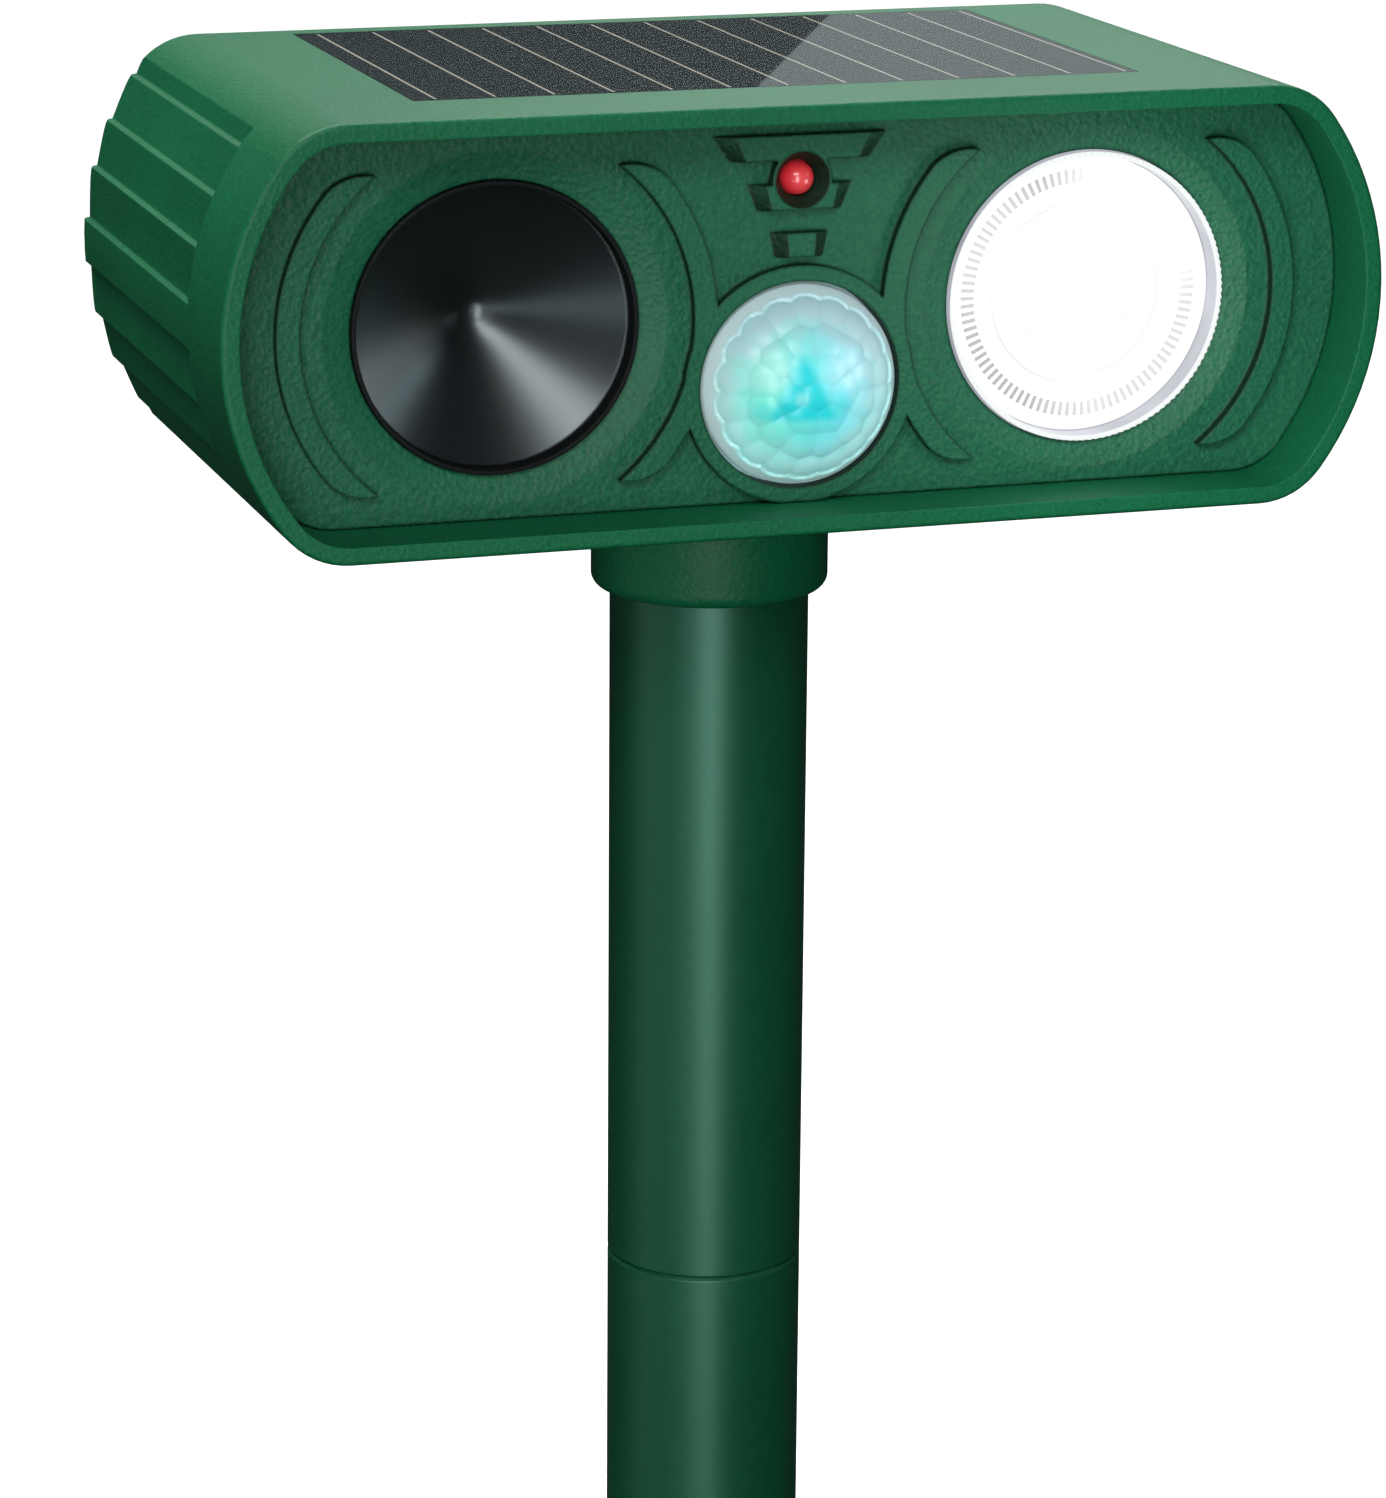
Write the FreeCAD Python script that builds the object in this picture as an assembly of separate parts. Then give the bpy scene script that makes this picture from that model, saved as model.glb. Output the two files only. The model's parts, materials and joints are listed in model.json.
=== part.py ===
import FreeCAD, Part
import math
import os

# Solar ultrasonic animal repeller: a wide head on a two-section pole with a ground spike.
# Millimetres. The origin is on the pole's axis at ground level, +Z is up, and the front faces -Y.
# The head is drawn in its own frame and moved last: x across, y is the depth behind the visor's
# front edge, and z is the height above the head's middle.

V = FreeCAD.Vector

# Head
head_width = 145.0
head_height = 51.5
head_depth = 79.1
side_radius = 36.4
corner_radius = 9.9
wall = 2.2
fit_gap = 0.15
top = head_height / 2
floor = -head_height / 2 + wall

# Visor and face plate
face_y = 9.05
face_thick = 2.2
face_back = face_y + face_thick
relief = 1.3
lamp_x = 37.3
lamp_z = -0.6
speaker_hole_r = 17.6
flash_hole_r = 17.95
dish_r = 21.1
dish_depth = 1.0
pir_z = -9.1
pir_hole_r = 12.6
pir_ring_r = 14.5
pir_clamp_r = 13.3
dome_base_y = 8.15
led_z = 15.6
led_r = 2.0
led_ring_r = 3.75

# Solar panel, let into the top flush with it
panel_width = 91.1
panel_front = 15.0
panel_back = 73.8
panel_tape = 0.5
panel_board = 1.2
panel_cell = 0.1
panel_cover = 0.8
panel_thick = panel_tape + panel_board + panel_cell + panel_cover
cell_count = 12
cell_gap = 0.4
tray_floor = 1.6

# Side grooves: each is flush at its outer height and deepest at its inner height
groove_heights = (23.3, 20.8, 15.2, 9.3, 2.7)
groove_depth = 1.0
groove_front = 17.4

# Pole, socket and spike
pole_y = 41.8
pole_r = 12.7
pole_wall = 1.6
pole_bore_r = pole_r - pole_wall
pole_body = 110.5
spigot_length = 22.0
slip = 0.08
socket_r = 15.1
socket_low = -41.5
socket_high = -18.6
flange_lift = 2.0
flange_r = 21.4
flange_screw_r = 18.9
pole_top = -21.0
spike_cup = 24.0
spike_flange_r = 19.0
spike_flange_thick = 2.5
spike_length = 100.0
spike_half_width = 13.5
joint_z = pole_top - pole_body
foot_z = joint_z - pole_body
head_above_ground = -(foot_z - spike_cup - spike_flange_thick)

# Rear cover and its controls
rear_ledge_y = 73.9
seal_thick = 1.0
cover_y = rear_ledge_y + seal_thick
cover_thick = 2.4
cover_back = cover_y + cover_thick
knob_x = 38.0
knob_r = 10.0
dial_recess_r = 12.0
dial_recess = 4.0
usb_x = 14.0
usb_z = -4.0
keyhole_z = 8.0
keyhole_r = 4.2
keyhole_slot_r = 2.1
keyhole_slot = 7.0

# Fixing points: corner bosses, and the three ears that clamp the speaker and the lamp
boss_x = 62.3
boss_z = 14.5
clamp_r = 22.2
ear_r = 2.7
ledge_front = 1.0
ledge_rear = 2.3

# Battery, lying across the head above the pole socket
battery_y = 44.0
battery_z = -4.0
battery_r = 9.2
battery_half = 32.5
contact_thick = 0.6

# Boards
board_y = 16.5
board_thick = 1.6
rear_board_y = 62.6

# Fasteners: radius of the thread, the pilot hole, the clearance hole and the head
thread_r = 1.1
pilot_r = 1.15
clear_r = 1.4
screw_head_r = 2.5
small_thread_r = 0.88
small_pilot_r = 0.92
small_clear_r = 1.1
small_head_r = 2.1

# Wires
wire_r = 0.65
cable_r = 1.2
wire_pitch = 2.6
solar_wire_x = -37.0
solar_wire_y = 66.0
header_z = -14.8
wire_lane_y = 31.4


def box(x0, x1, y0, y1, z0, z1):
    return Part.makeBox(x1 - x0, y1 - y0, z1 - z0, V(x0, y0, z0))


def rod_y(x, z, radius, y0, y1):
    return Part.makeCylinder(radius, y1 - y0, V(x, y0, z), V(0, 1, 0))


def rod_z(x, y, radius, z0, z1):
    return Part.makeCylinder(radius, z1 - z0, V(x, y, z0), V(0, 0, 1))


def rod_x(y, z, radius, x0, x1):
    return Part.makeCylinder(radius, x1 - x0, V(x0, y, z), V(1, 0, 0))


def cone_y(x, z, r0, r1, y0, y1):
    return Part.makeCone(r0, r1, y1 - y0, V(x, y0, z), V(0, 1, 0))


def tube_y(x, z, outer, inner, y0, y1):
    return rod_y(x, z, outer, y0, y1).cut(rod_y(x, z, inner, y0 - 1, y1 + 1))


def fuse(shapes):
    return shapes[0].multiFuse(shapes[1:]).removeSplitter()


def path_edges(points, lift):
    # A point is (a, b); (a, b, c, d) is an arc through (a, b) that ends at (c, d).
    edges = []
    here = lift(points[0][0], points[0][1])
    for p in points[1:] + points[:1]:
        end = lift(p[-2], p[-1])
        if len(p) == 4:
            edges.append(Part.Arc(here, lift(p[0], p[1]), end).toShape())
        elif not here.isEqual(end, 1e-6):
            edges.append(Part.LineSegment(here, end).toShape())
        here = end
    return edges


def lathe(points, x, z):
    # Turns a closed outline of (radius, depth) about an axis along Y at (x, z).
    edges = path_edges(points, lambda r, y: V(x + r, y, z))
    face = Part.Face(Part.Wire(edges))
    return face.revolve(V(x, 0, z), V(0, 1, 0), 360)


def plate_xz(points, y0, y1):
    # A flat plate with a closed outline of (x, z), from depth y0 to y1.
    edges = path_edges(points, lambda x, z: V(x, y0, z))
    return Part.Face(Part.Wire(edges)).extrude(V(0, y1 - y0, 0))


def head_outline(inset, y):
    # Flat top and bottom, round corners and bowed sides, drawn inset from the outer surface.
    side_cx = head_width / 2 - side_radius
    corner_cz = head_height / 2 - corner_radius
    corner_cx = side_cx + math.sqrt((side_radius - corner_radius) ** 2 - corner_cz ** 2)
    join = math.atan2(corner_cz, corner_cx - side_cx)
    up = math.pi / 2

    def at(sx, sz, cx, cz, radius, angle):
        return V(sx * (cx + radius * math.cos(angle)), y, sz * (cz + radius * math.sin(angle)))

    side = (side_cx, 0.0, side_radius - inset)
    corner = (corner_cx, corner_cz, corner_radius - inset)
    edges = []
    for sx in (1, -1):
        ends = (at(sx, 1, *side, join), at(sx, -1, *side, join))
        edges.append(Part.Arc(ends[0], at(sx, 1, *side, 0), ends[1]).toShape())
        for sz in (1, -1):
            middle = at(sx, sz, *corner, (join + up) / 2)
            edges.append(Part.Arc(at(sx, sz, *corner, join), middle, at(sx, sz, *corner, up)).toShape())
    for sz in (1, -1):
        edges.append(Part.LineSegment(at(-1, sz, *corner, up), at(1, sz, *corner, up)).toShape())
    return Part.Wire(Part.__sortEdges__(edges))


def head_slab(inset, y0, y1):
    return Part.Face(head_outline(inset, y0)).extrude(V(0, y1 - y0, 0))


def side_x(z):
    # Half-width of the bowed side at height z.
    return head_width / 2 - side_radius + math.sqrt(side_radius ** 2 - z ** 2)


def end_edges(shape, y):
    return [e for e in shape.Edges if abs(e.BoundBox.YMin - y) < 0.01 and abs(e.BoundBox.YMax - y) < 0.01]


def ring_points(count, radius, start_deg, cx=0.0, cz=0.0):
    turns = [math.radians(start_deg + 360.0 * i / count) for i in range(count)]
    return [(cx + radius * math.cos(t), cz + radius * math.sin(t)) for t in turns]


def corners(x, z):
    return [(sx * x, sz * z) for sx in (1, -1) for sz in (1, -1)]


def clamp_points(cx):
    # Three ears round the speaker or the lamp, one of them towards the middle of the head.
    return ring_points(3, clamp_r, 180 if cx > 0 else 0, cx, lamp_z)


def screw(start, way, length, head_r=screw_head_r, head_h=1.4, shank_r=thread_r):
    # A pan-head screw with its head's underside at start and its thread running along way.
    shank = Part.makeCylinder(shank_r, length, start, way)
    cap = Part.makeCylinder(head_r, head_h, start - way * head_h, way)
    rim = [e for e in cap.Edges if e.Length > 1.9 * math.pi * head_r]
    outer = [e for e in rim if abs((e.CenterOfMass - start).dot(way) + head_h) < 0.01]
    cap = cap.makeFillet(head_h * 0.4, outer)
    slot_w = head_r * 0.28
    cross = []
    for a, b in ((head_r * 0.62, slot_w), (slot_w, head_r * 0.62)):
        if abs(way.y) > 0.5:
            bar = box(-a, a, -0.8, 0.8, -b, b)
        else:
            bar = box(-a, a, -b, b, -0.8, 0.8)
        bar.translate(start - way * head_h)
        cross.append(bar)
    return fuse([cap, shank]).cut(fuse(cross))


def wire_run(points, radius):
    # A round wire through the points, each corner rounded as large as its two runs allow.
    points = [V(*p) for p in points]
    edges = []
    radii = []
    here = points[0]
    for before, corner, after in zip(points, points[1:], points[2:]):
        back = (before - corner).normalize()
        ahead = (after - corner).normalize()
        turn = math.pi - back.getAngle(ahead)
        reach = 0.45 * min((before - corner).Length, (after - corner).Length)
        bend = reach / math.tan(turn / 2)
        entry = corner + back * reach
        leave = corner + ahead * reach
        middle = corner + (back + ahead).normalize() * (bend / math.cos(turn / 2) - bend)
        edges.append(Part.LineSegment(here, entry).toShape())
        edges.append(Part.Arc(entry, middle, leave).toShape())
        radii.append(bend)
        here = leave
    edges.append(Part.LineSegment(here, points[-1]).toShape())
    path = Part.Wire(edges)
    section = Part.Wire(Part.makeCircle(radius, points[0], points[1] - points[0]))
    run = path.makePipeShell([section], True, False)
    ideal = math.pi * radius ** 2 * path.Length
    print("wire length %.1f, tightest bend %.1f, volume ratio %.3f"
          % (path.Length, min(radii), run.Volume / ideal))
    return run


def main_housing():
    shell = head_slab(0, 0, head_depth)
    shell = shell.makeFillet(2.0, end_edges(shell, head_depth))
    shell = shell.makeFillet(0.6, end_edges(shell, 0))
    shell = shell.cut(head_slab(wall, -1, head_depth + 1))
    adds = [shell]
    ledges = ((face_back, face_back + 3.0, ledge_front), (rear_ledge_y - 2.2, rear_ledge_y, ledge_rear))
    for y0, y1, width in ledges:
        adds.append(head_slab(wall - 0.3, y0, y1).cut(head_slab(wall + width, y0 - 1, y1 + 1)))
    half = panel_width / 2
    tray_top = top - panel_thick
    rim = half + 2.4
    adds.append(box(-rim, rim, panel_front - 2.0, rear_ledge_y, tray_top - tray_floor, top - 1.0))
    cuts = []
    for x, z in corners(boss_x, boss_z):
        adds.append(rod_y(x, z, 4.6, face_back, face_back + 3.0))
        cuts.append(rod_y(x, z, 3.15, face_back - 1, face_back + 4.0))
        adds.append(rod_y(x, z, 3.6, rear_ledge_y - 15.0, rear_ledge_y))
        cuts.append(rod_y(x, z, pilot_r, rear_ledge_y - 12.0, rear_ledge_y + 1))
    for x, y in flange_holes():
        adds.append(rod_z(x, y, 2.3, floor - 0.3, floor + flange_lift))
        cuts.append(rod_z(x, y, pilot_r, floor - 1.3, floor + 3.0))
    for x, y in cradle_feet():
        adds.append(rod_z(x, y, 3.2, floor - 0.3, floor + flange_lift))
        cuts.append(rod_z(x, y, pilot_r, floor - 1.3, floor + 3.0))
    cuts.append(rod_z(0, pole_y, socket_r + fit_gap, -top - 1, floor + 1))
    pocket_half = half + fit_gap
    pocket = (panel_front - fit_gap, panel_back + fit_gap)
    cuts.append(box(-pocket_half, pocket_half, pocket[0], pocket[1], tray_top, top + 1))
    for x in (solar_wire_x, solar_wire_x + wire_pitch):
        cuts.append(rod_z(x, solar_wire_y, 1.0, tray_top - tray_floor - 1, tray_top + 1))
    body = fuse(adds).cut(Part.makeCompound(cuts))
    return body.cut(Part.makeCompound(side_grooves()))


def side_grooves():
    grooves = []
    for outer, inner in zip(groove_heights, groove_heights[1:]):
        for sx in (1, -1):
            for sz in (1, -1):
                outline = [
                    (sx * side_x(outer), sz * outer),
                    (sx * (side_x(inner) - groove_depth), sz * inner),
                    (sx * (side_x(inner) + 3.0), sz * inner),
                    (sx * (side_x(inner) + 3.0), sz * outer),
                ]
                grooves.append(plate_xz(outline, groove_front, head_depth + 1))
    return grooves


def crescent(cx, way, inner_r, outer_r):
    # A raised arc around a round opening, tapering to a point at both ends. way is the side it is on.
    blunt = math.radians(40)
    tip = math.radians(52)
    shoulder = (blunt + tip) / 2
    mid_r = (inner_r + outer_r) / 2 + 0.6

    def at(radius, angle):
        return (cx + way * radius * math.cos(angle), lamp_z + radius * math.sin(angle))

    outline = [
        at(inner_r, -tip),
        at(inner_r, 0) + at(inner_r, tip),
        at(mid_r, shoulder) + at(outer_r, blunt),
        at(outer_r, 0) + at(outer_r, -blunt),
        at(mid_r, -shoulder) + at(inner_r, -tip),
    ]
    return plate_xz(outline, face_y - relief, face_y + 0.3)


def badge(high, low, half_high, half_low, chamfer_high, chamfer_low):
    # A raised trapezoid with sloping ends.
    def outline(shrink, y):
        hi = half_high - shrink * chamfer_high
        lo = half_low - shrink * chamfer_low
        points = [V(-hi, y, high), V(hi, y, high), V(lo, y, low), V(-lo, y, low)]
        return Part.makePolygon(points + points[:1])

    slope = Part.makeLoft([outline(0, face_y), outline(1, face_y - relief)], True, True)
    root = Part.Face(outline(0, face_y)).extrude(V(0, 0.3, 0))
    return fuse([slope, root])


def face_plate():
    adds = [head_slab(wall + fit_gap, face_y, face_back)]
    adds.append(rod_y(0, pir_z, pir_ring_r, face_y - relief, face_back))
    for way in (-1, 1):
        for side in (-1, 1):
            adds.append(crescent(way * lamp_x, side, 24.0, 26.9))
    adds.append(badge(21.0, 18.0, 10.9, 8.75, 2.4, 1.7))
    adds.append(badge(18.1, 15.0, 3.3, 4.0, 0.25, 0.25))
    adds.append(badge(15.1, 12.05, 6.55, 5.3, 2.0, 1.5))
    adds.append(badge(9.3, 6.35, 3.65, 3.0, 1.8, 1.4))
    adds.append(rod_y(0, led_z, led_ring_r, face_y - relief, face_back))
    for x, z in corners(boss_x, boss_z):
        adds.append(rod_y(x, z, 3.0, face_back - 0.2, face_back + 2.8))
    for x, z in board_holes():
        adds.append(rod_y(x, z, 2.5, face_back - 0.2, board_y))
    for cx in (-lamp_x, lamp_x):
        for x, z in clamp_points(cx):
            adds.append(rod_y(x, z, 2.0, face_back - 0.2, face_back + 1.0))
    cuts = []
    for cx, hole_r in ((-lamp_x, speaker_hole_r), (lamp_x, flash_hole_r)):
        cuts.append(cone_y(cx, lamp_z, dish_r + 1.0, hole_r, face_y - 0.3, face_y + dish_depth))
        cuts.append(rod_y(cx, lamp_z, hole_r, face_y - 1, face_back + 1))
        for x, z in clamp_points(cx):
            cuts.append(rod_y(x, z, pilot_r, face_y + 1.0, face_back + 2.0))
    cuts.append(rod_y(0, pir_z, pir_hole_r, face_y - 2, face_back + 1))
    cuts.append(cone_y(0, led_z, 3.4, led_r + 0.15, face_y - relief - 0.02, face_y + 0.9))
    cuts.append(rod_y(0, led_z, led_r + 0.15, face_y - 2, face_back + 1))
    for x, z in corners(boss_x, boss_z):
        cuts.append(rod_y(x, z, pilot_r, face_y + 1.0, face_back + 4.0))
    for x, z in board_holes():
        cuts.append(rod_y(x, z, small_pilot_r, face_back, board_y + 1.0))
    plate = fuse(adds).common(head_slab(wall + fit_gap, face_y - 2, board_y + 1))
    return plate.cut(Part.makeCompound(cuts))


def board_holes():
    return [(-14.6, 18.2), (14.6, 18.2), (-14.6, -20.0), (14.6, -20.0)]


def face_screws():
    seat = face_back + 3.0
    return [screw(V(x, seat, z), V(0, -1, 0), 4.0, 4.2, 1.2) for x, z in corners(boss_x, boss_z)]


def solar_layers():
    half = panel_width / 2
    tape_z = top - panel_thick
    board_z = tape_z + panel_tape
    cell_z = board_z + panel_board
    cover_z = cell_z + panel_cell
    tape = box(-half, half, panel_front, panel_back, tape_z, board_z)
    tape = tape.cut(box(-half + 6, half - 6, panel_front + 6, panel_back - 6, tape_z - 1, board_z + 1))
    board = box(-half, half, panel_front, panel_back, board_z, cell_z)
    left = -half + 2.8
    right = half - 1.2
    pitch = (right - left) / cell_count
    edge = 0.3
    gap = cell_gap / 2
    spans = [(left + i * pitch + gap, left + (i + 1) * pitch - gap) for i in range(cell_count)]
    spans += [(-half + edge, left - gap), (right + gap, half - edge)]
    cells = [box(x0, x1, panel_front + edge, panel_back - edge, cell_z, cover_z) for x0, x1 in spans]
    cover = box(-half, half, panel_front, panel_back, cover_z, top)
    return tape, board, cells, cover


def speaker_frame():
    ring = lathe([
        (17.0, face_y + 0.2), (17.5, face_y + 0.2), (17.5, 12.25), (20.3, 12.25), (20.3, 13.75),
        (18.4, 13.75), (14.5, 28.0), (3.0, 28.0), (3.0, 26.6), (12.9, 26.6), (16.6, 14.4),
        (16.15, 13.6), (16.15, 12.75), (17.0, 12.75),
    ], -lamp_x, lamp_z)
    ears = [ring]
    holes = []
    for x, z in clamp_points(-lamp_x):
        ears.append(rod_y(x, z, ear_r, 12.25, 13.75).cut(rod_y(-lamp_x, lamp_z, 19.8, 12, 14)))
        holes.append(rod_y(x, z, clear_r, 11, 15))
    for z in (lamp_z - 16, lamp_z + 16):
        holes.append(box(-lamp_x - 3.5, -lamp_x + 3.5, 17.5, 25.0, z - 5, z + 5))
    return fuse(ears).cut(Part.makeCompound(holes))


def speaker_cone():
    return lathe([
        (16.9, 11.72), (1.4, 21.6), (0.0, 21.9), (0.0, 22.8), (1.8, 22.8), (2.2, 21.6),
        (16.1, 12.75), (16.9, 12.75),
    ], -lamp_x, lamp_z)


def speaker_piezo():
    brass = rod_y(-lamp_x, lamp_z, 12.5, 22.8, 23.1)
    ceramic = rod_y(-lamp_x, lamp_z, 9.5, 23.1, 23.45)
    return [brass, ceramic]


def clamp_screws(cx):
    return [screw(V(x, 13.75, z), V(0, -1, 0), 3.5) for x, z in clamp_points(cx)]


def flash_lens():
    # Clear cup: a thin rim flush with the face plate, a disc set back inside it, and a clamping flange.
    return lathe([
        (0.0, 12.0), (8.0, 12.15), (8.0, 12.35), (17.15, 12.35), (17.15, 8.95), (17.8, 8.95),
        (17.8, face_back), (19.9, face_back), (19.9, 12.5), (17.3, 12.5), (17.3, 13.4), (0.0, 13.4),
    ], lamp_x, lamp_z)


def flash_reflector():
    bowl = lathe([
        (17.45, 12.5), (20.3, 12.5), (20.3, 13.75), (19.0, 13.75), (17.8, 14.6), (14.6, 20.4, 9.6, 25.0),
        (9.6, 26.0), (8.4, 26.0), (8.4, 25.0), (13.2, 20.0, 16.2, 13.55), (17.45, 13.55),
    ], lamp_x, lamp_z)
    ears = [bowl]
    holes = []
    for x, z in clamp_points(lamp_x):
        ears.append(rod_y(x, z, ear_r, 12.5, 13.75).cut(rod_y(lamp_x, lamp_z, 19.8, 12, 14)))
        holes.append(rod_y(x, z, clear_r, 11, 15))
    return fuse(ears).cut(Part.makeCompound(holes))


def flash_board():
    return rod_y(lamp_x, lamp_z, 10.4, 26.0, 27.2)


def flash_leds():
    spots = [(lamp_x, lamp_z)] + ring_points(5, 5.6, 90, lamp_x, lamp_z)
    return [box(x - 1.4, x + 1.4, 25.1, 26.0, z - 1.75, z + 1.75) for x, z in spots]


def pir_lens():
    # Domed shell with a short cylindrical foot and a flange behind the face plate.
    base_r = 12.15
    sag = 7.4
    skin = 0.8
    sphere_r = (base_r ** 2 + sag ** 2) / (2 * sag)
    front = dome_base_y
    half_turn = math.asin(base_r / sphere_r) / 2
    mid_r = sphere_r * math.sin(half_turn)
    mid_y = front - sag + sphere_r * (1 - math.cos(half_turn))
    shrink = (sphere_r - skin) / sphere_r
    centre_y = front - sag + sphere_r
    inner_r = base_r - skin
    inner_mid = (mid_r * shrink, centre_y - (centre_y - mid_y) * shrink)
    inner_top = centre_y - (sphere_r - skin)
    inner_front = centre_y - math.sqrt((sphere_r - skin) ** 2 - inner_r ** 2)
    return lathe([
        (0.0, front - sag), (mid_r, mid_y, base_r, front), (base_r, face_back), (pir_clamp_r, face_back),
        (pir_clamp_r, face_back + 0.9), (inner_r, face_back + 0.9), (inner_r, inner_front),
        (inner_mid[0], inner_mid[1], 0.0, inner_top),
    ], 0, pir_z)


def pir_retainer():
    ring = tube_y(0, pir_z, pir_clamp_r, 10.8, face_back + 0.9, board_y)
    gaps = [box(-16, 16, face_back + 2.6, board_y - 0.8, pir_z - 2.5, pir_z + 2.5)]
    gaps.append(box(-2.5, 2.5, face_back + 2.6, board_y - 0.8, pir_z - 16, pir_z + 16))
    return ring.cut(Part.makeCompound(gaps))


def pir_sensor():
    can = lathe([(0.0, 11.6), (4.0, 11.6), (4.0, 15.1), (4.6, 15.1), (4.6, 15.6), (0.0, 15.6)], 0, pir_z)
    can = can.cut(box(-2.0, 2.0, 11.0, 11.85, pir_z - 1.5, pir_z + 1.5))
    pins = [rod_y(x, z, 0.25, 15.5, 18.9) for x, z in ring_points(3, 2.5, 45, 0, pir_z)]
    return fuse([can] + pins)


def pir_window():
    return box(-2.0, 2.0, 11.6, 11.85, pir_z - 1.5, pir_z + 1.5)


def indicator_led():
    lens = lathe([
        (0.0, 7.9), (1.42, 8.5, led_r, 9.9), (led_r, 12.4), (2.4, 12.4), (2.4, 13.3), (0.0, 13.3),
    ], 0, led_z)
    return [lens]


def indicator_leads():
    return [rod_y(x, led_z, 0.25, 13.3, 18.8) for x in (-1.27, 1.27)]


def main_board():
    board = box(-17.2, 17.2, board_y, board_y + board_thick, -22.4, 20.8)
    holes = [rod_y(x, z, small_clear_r, board_y - 1, board_y + 3) for x, z in board_holes()]
    holes += [rod_y(x, z, 0.3, board_y - 1, board_y + 3) for x, z in ring_points(3, 2.5, 45, 0, pir_z)]
    holes += [rod_y(x, led_z, 0.3, board_y - 1, board_y + 3) for x in (-1.27, 1.27)]
    return board.cut(Part.makeCompound(holes))


def board_screws():
    way = V(0, -1, 0)
    seat = board_y + board_thick
    return [screw(V(x, seat, z), way, 4.6, small_head_r, 1.2, small_thread_r) for x, z in board_holes()]


def gull_leg(x, z, way, y0):
    # One flat lead of a surface chip: out, down and out again to the board's face.
    shelf = box(0.0, 0.5, 0.9, 1.15, -0.2, 0.2)
    drop = box(0.35, 0.6, 0.0, 1.15, -0.2, 0.2)
    foot = box(0.35, 1.1, 0.0, 0.22, -0.2, 0.2)
    leg = fuse([shelf, drop, foot])
    if way < 0:
        leg.rotate(V(0, 0, 0), V(0, 0, 1), 180)
        leg.rotate(V(0, 0, 0), V(1, 0, 0), 180)
    leg.translate(V(x, y0, z))
    return leg


def control_chip():
    back = board_y + board_thick
    body = box(-3.9, 0.1, back + 0.2, back + 1.9, -3.9, 6.1)
    legs = []
    for i in range(8):
        z = -3.35 + 1.27 * i
        legs.append(gull_leg(0.05, z, 1, back))
        legs.append(gull_leg(-3.85, z, -1, back))
    return fuse([body] + legs)


def driver_transformer():
    back = board_y + board_thick
    core = box(4.0, 15.0, back + 1.0, back + 10.0, -8.0, -4.5)
    core2 = box(4.0, 15.0, back + 1.0, back + 10.0, 2.0, 5.5)
    post = rod_z(9.5, back + 5.5, 2.6, -5.0, 2.5)
    bobbin = box(5.0, 14.0, back, back + 1.0, -8.5, 6.0)
    return fuse([core, core2, post, bobbin])


def transformer_winding():
    back = board_y + board_thick
    outer = rod_z(9.5, back + 5.5, 4.2, -4.5, 2.0)
    return outer.cut(rod_z(9.5, back + 5.5, 2.6, -5, 3))


def filter_capacitors():
    back = board_y + board_thick
    cans = []
    for x, z in ((-10.5, 12.0), (-3.0, 12.6)):
        can = rod_y(x, z, 3.15, back, back + 11.0)
        ring = [e for e in can.Edges if abs(e.CenterOfMass.y - back - 11.0) < 0.01 and e.Length > 10]
        cans.append(can.makeFillet(0.5, ring))
    return cans


def wire_header(x0, x1, z0, z1, y0, y1):
    shell = box(x0, x1, y0, y1, z0, z1)
    return shell.cut(box(x0 + 0.7, x1 - 0.7, y1 - 3.0, y1 + 1, z0 + 0.7, z1 - 0.7))


def header_depth():
    # Where a wire's end meets the bottom of a header's well.
    return board_y + board_thick + 3.0


def wire_headers():
    back = board_y + board_thick
    low = header_z - 2.3
    headers = [wire_header(way - 5.9, way + 5.9, low, low + 4.6, back, back + 6.0) for way in (-10.6, 10.6)]
    headers.append(wire_header(7.0, 13.0, 8.8, 13.4, back, back + 6.0))
    return headers


def cradle_feet():
    return [(-27.3, battery_y), (27.3, battery_y)]


def battery_cell():
    body = rod_x(battery_y, battery_z, battery_r, -battery_half, battery_half - 1.2)
    pole = rod_x(battery_y, battery_z, 2.8, battery_half - 1.4, battery_half)
    return fuse([body, pole])


def battery_cradle():
    # A trough with end walls on two hollow feet.
    r = battery_r + 0.3
    end = battery_half + 2.2
    low = battery_z - r - 1.8
    seat = battery_half + contact_thick
    trough = box(-end, end, battery_y - r - 1.6, battery_y + r + 1.6, low, battery_z - 1.0)
    hollow = rod_x(battery_y, battery_z, r, -seat, seat)
    feet = [rod_z(x, y, 4.2, floor + flange_lift, low + 0.5) for x, y in cradle_feet()]
    holes = [rod_z(x, y, clear_r, floor, low + 5) for x, y in cradle_feet()]
    heads = [rod_z(x, y, screw_head_r + 0.2, floor + 4.0, battery_z) for x, y in cradle_feet()]
    return fuse([trough] + feet).cut(Part.makeCompound([hollow] + holes + heads))


def battery_contacts():
    # The plates stay inside the trough's round end and rise above it to take the wires.
    plates = []
    for way in (-1, 1):
        ends = sorted((way * battery_half, way * (battery_half + contact_thick)))
        plates.append(box(ends[0], ends[1], battery_y - 4.5, battery_y + 4.5, battery_z - 6, battery_z + 6))
    return plates


def cradle_screws():
    return [screw(V(x, y, floor + 4.0), V(0, 0, -1), 4.6) for x, y in cradle_feet()]


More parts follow.
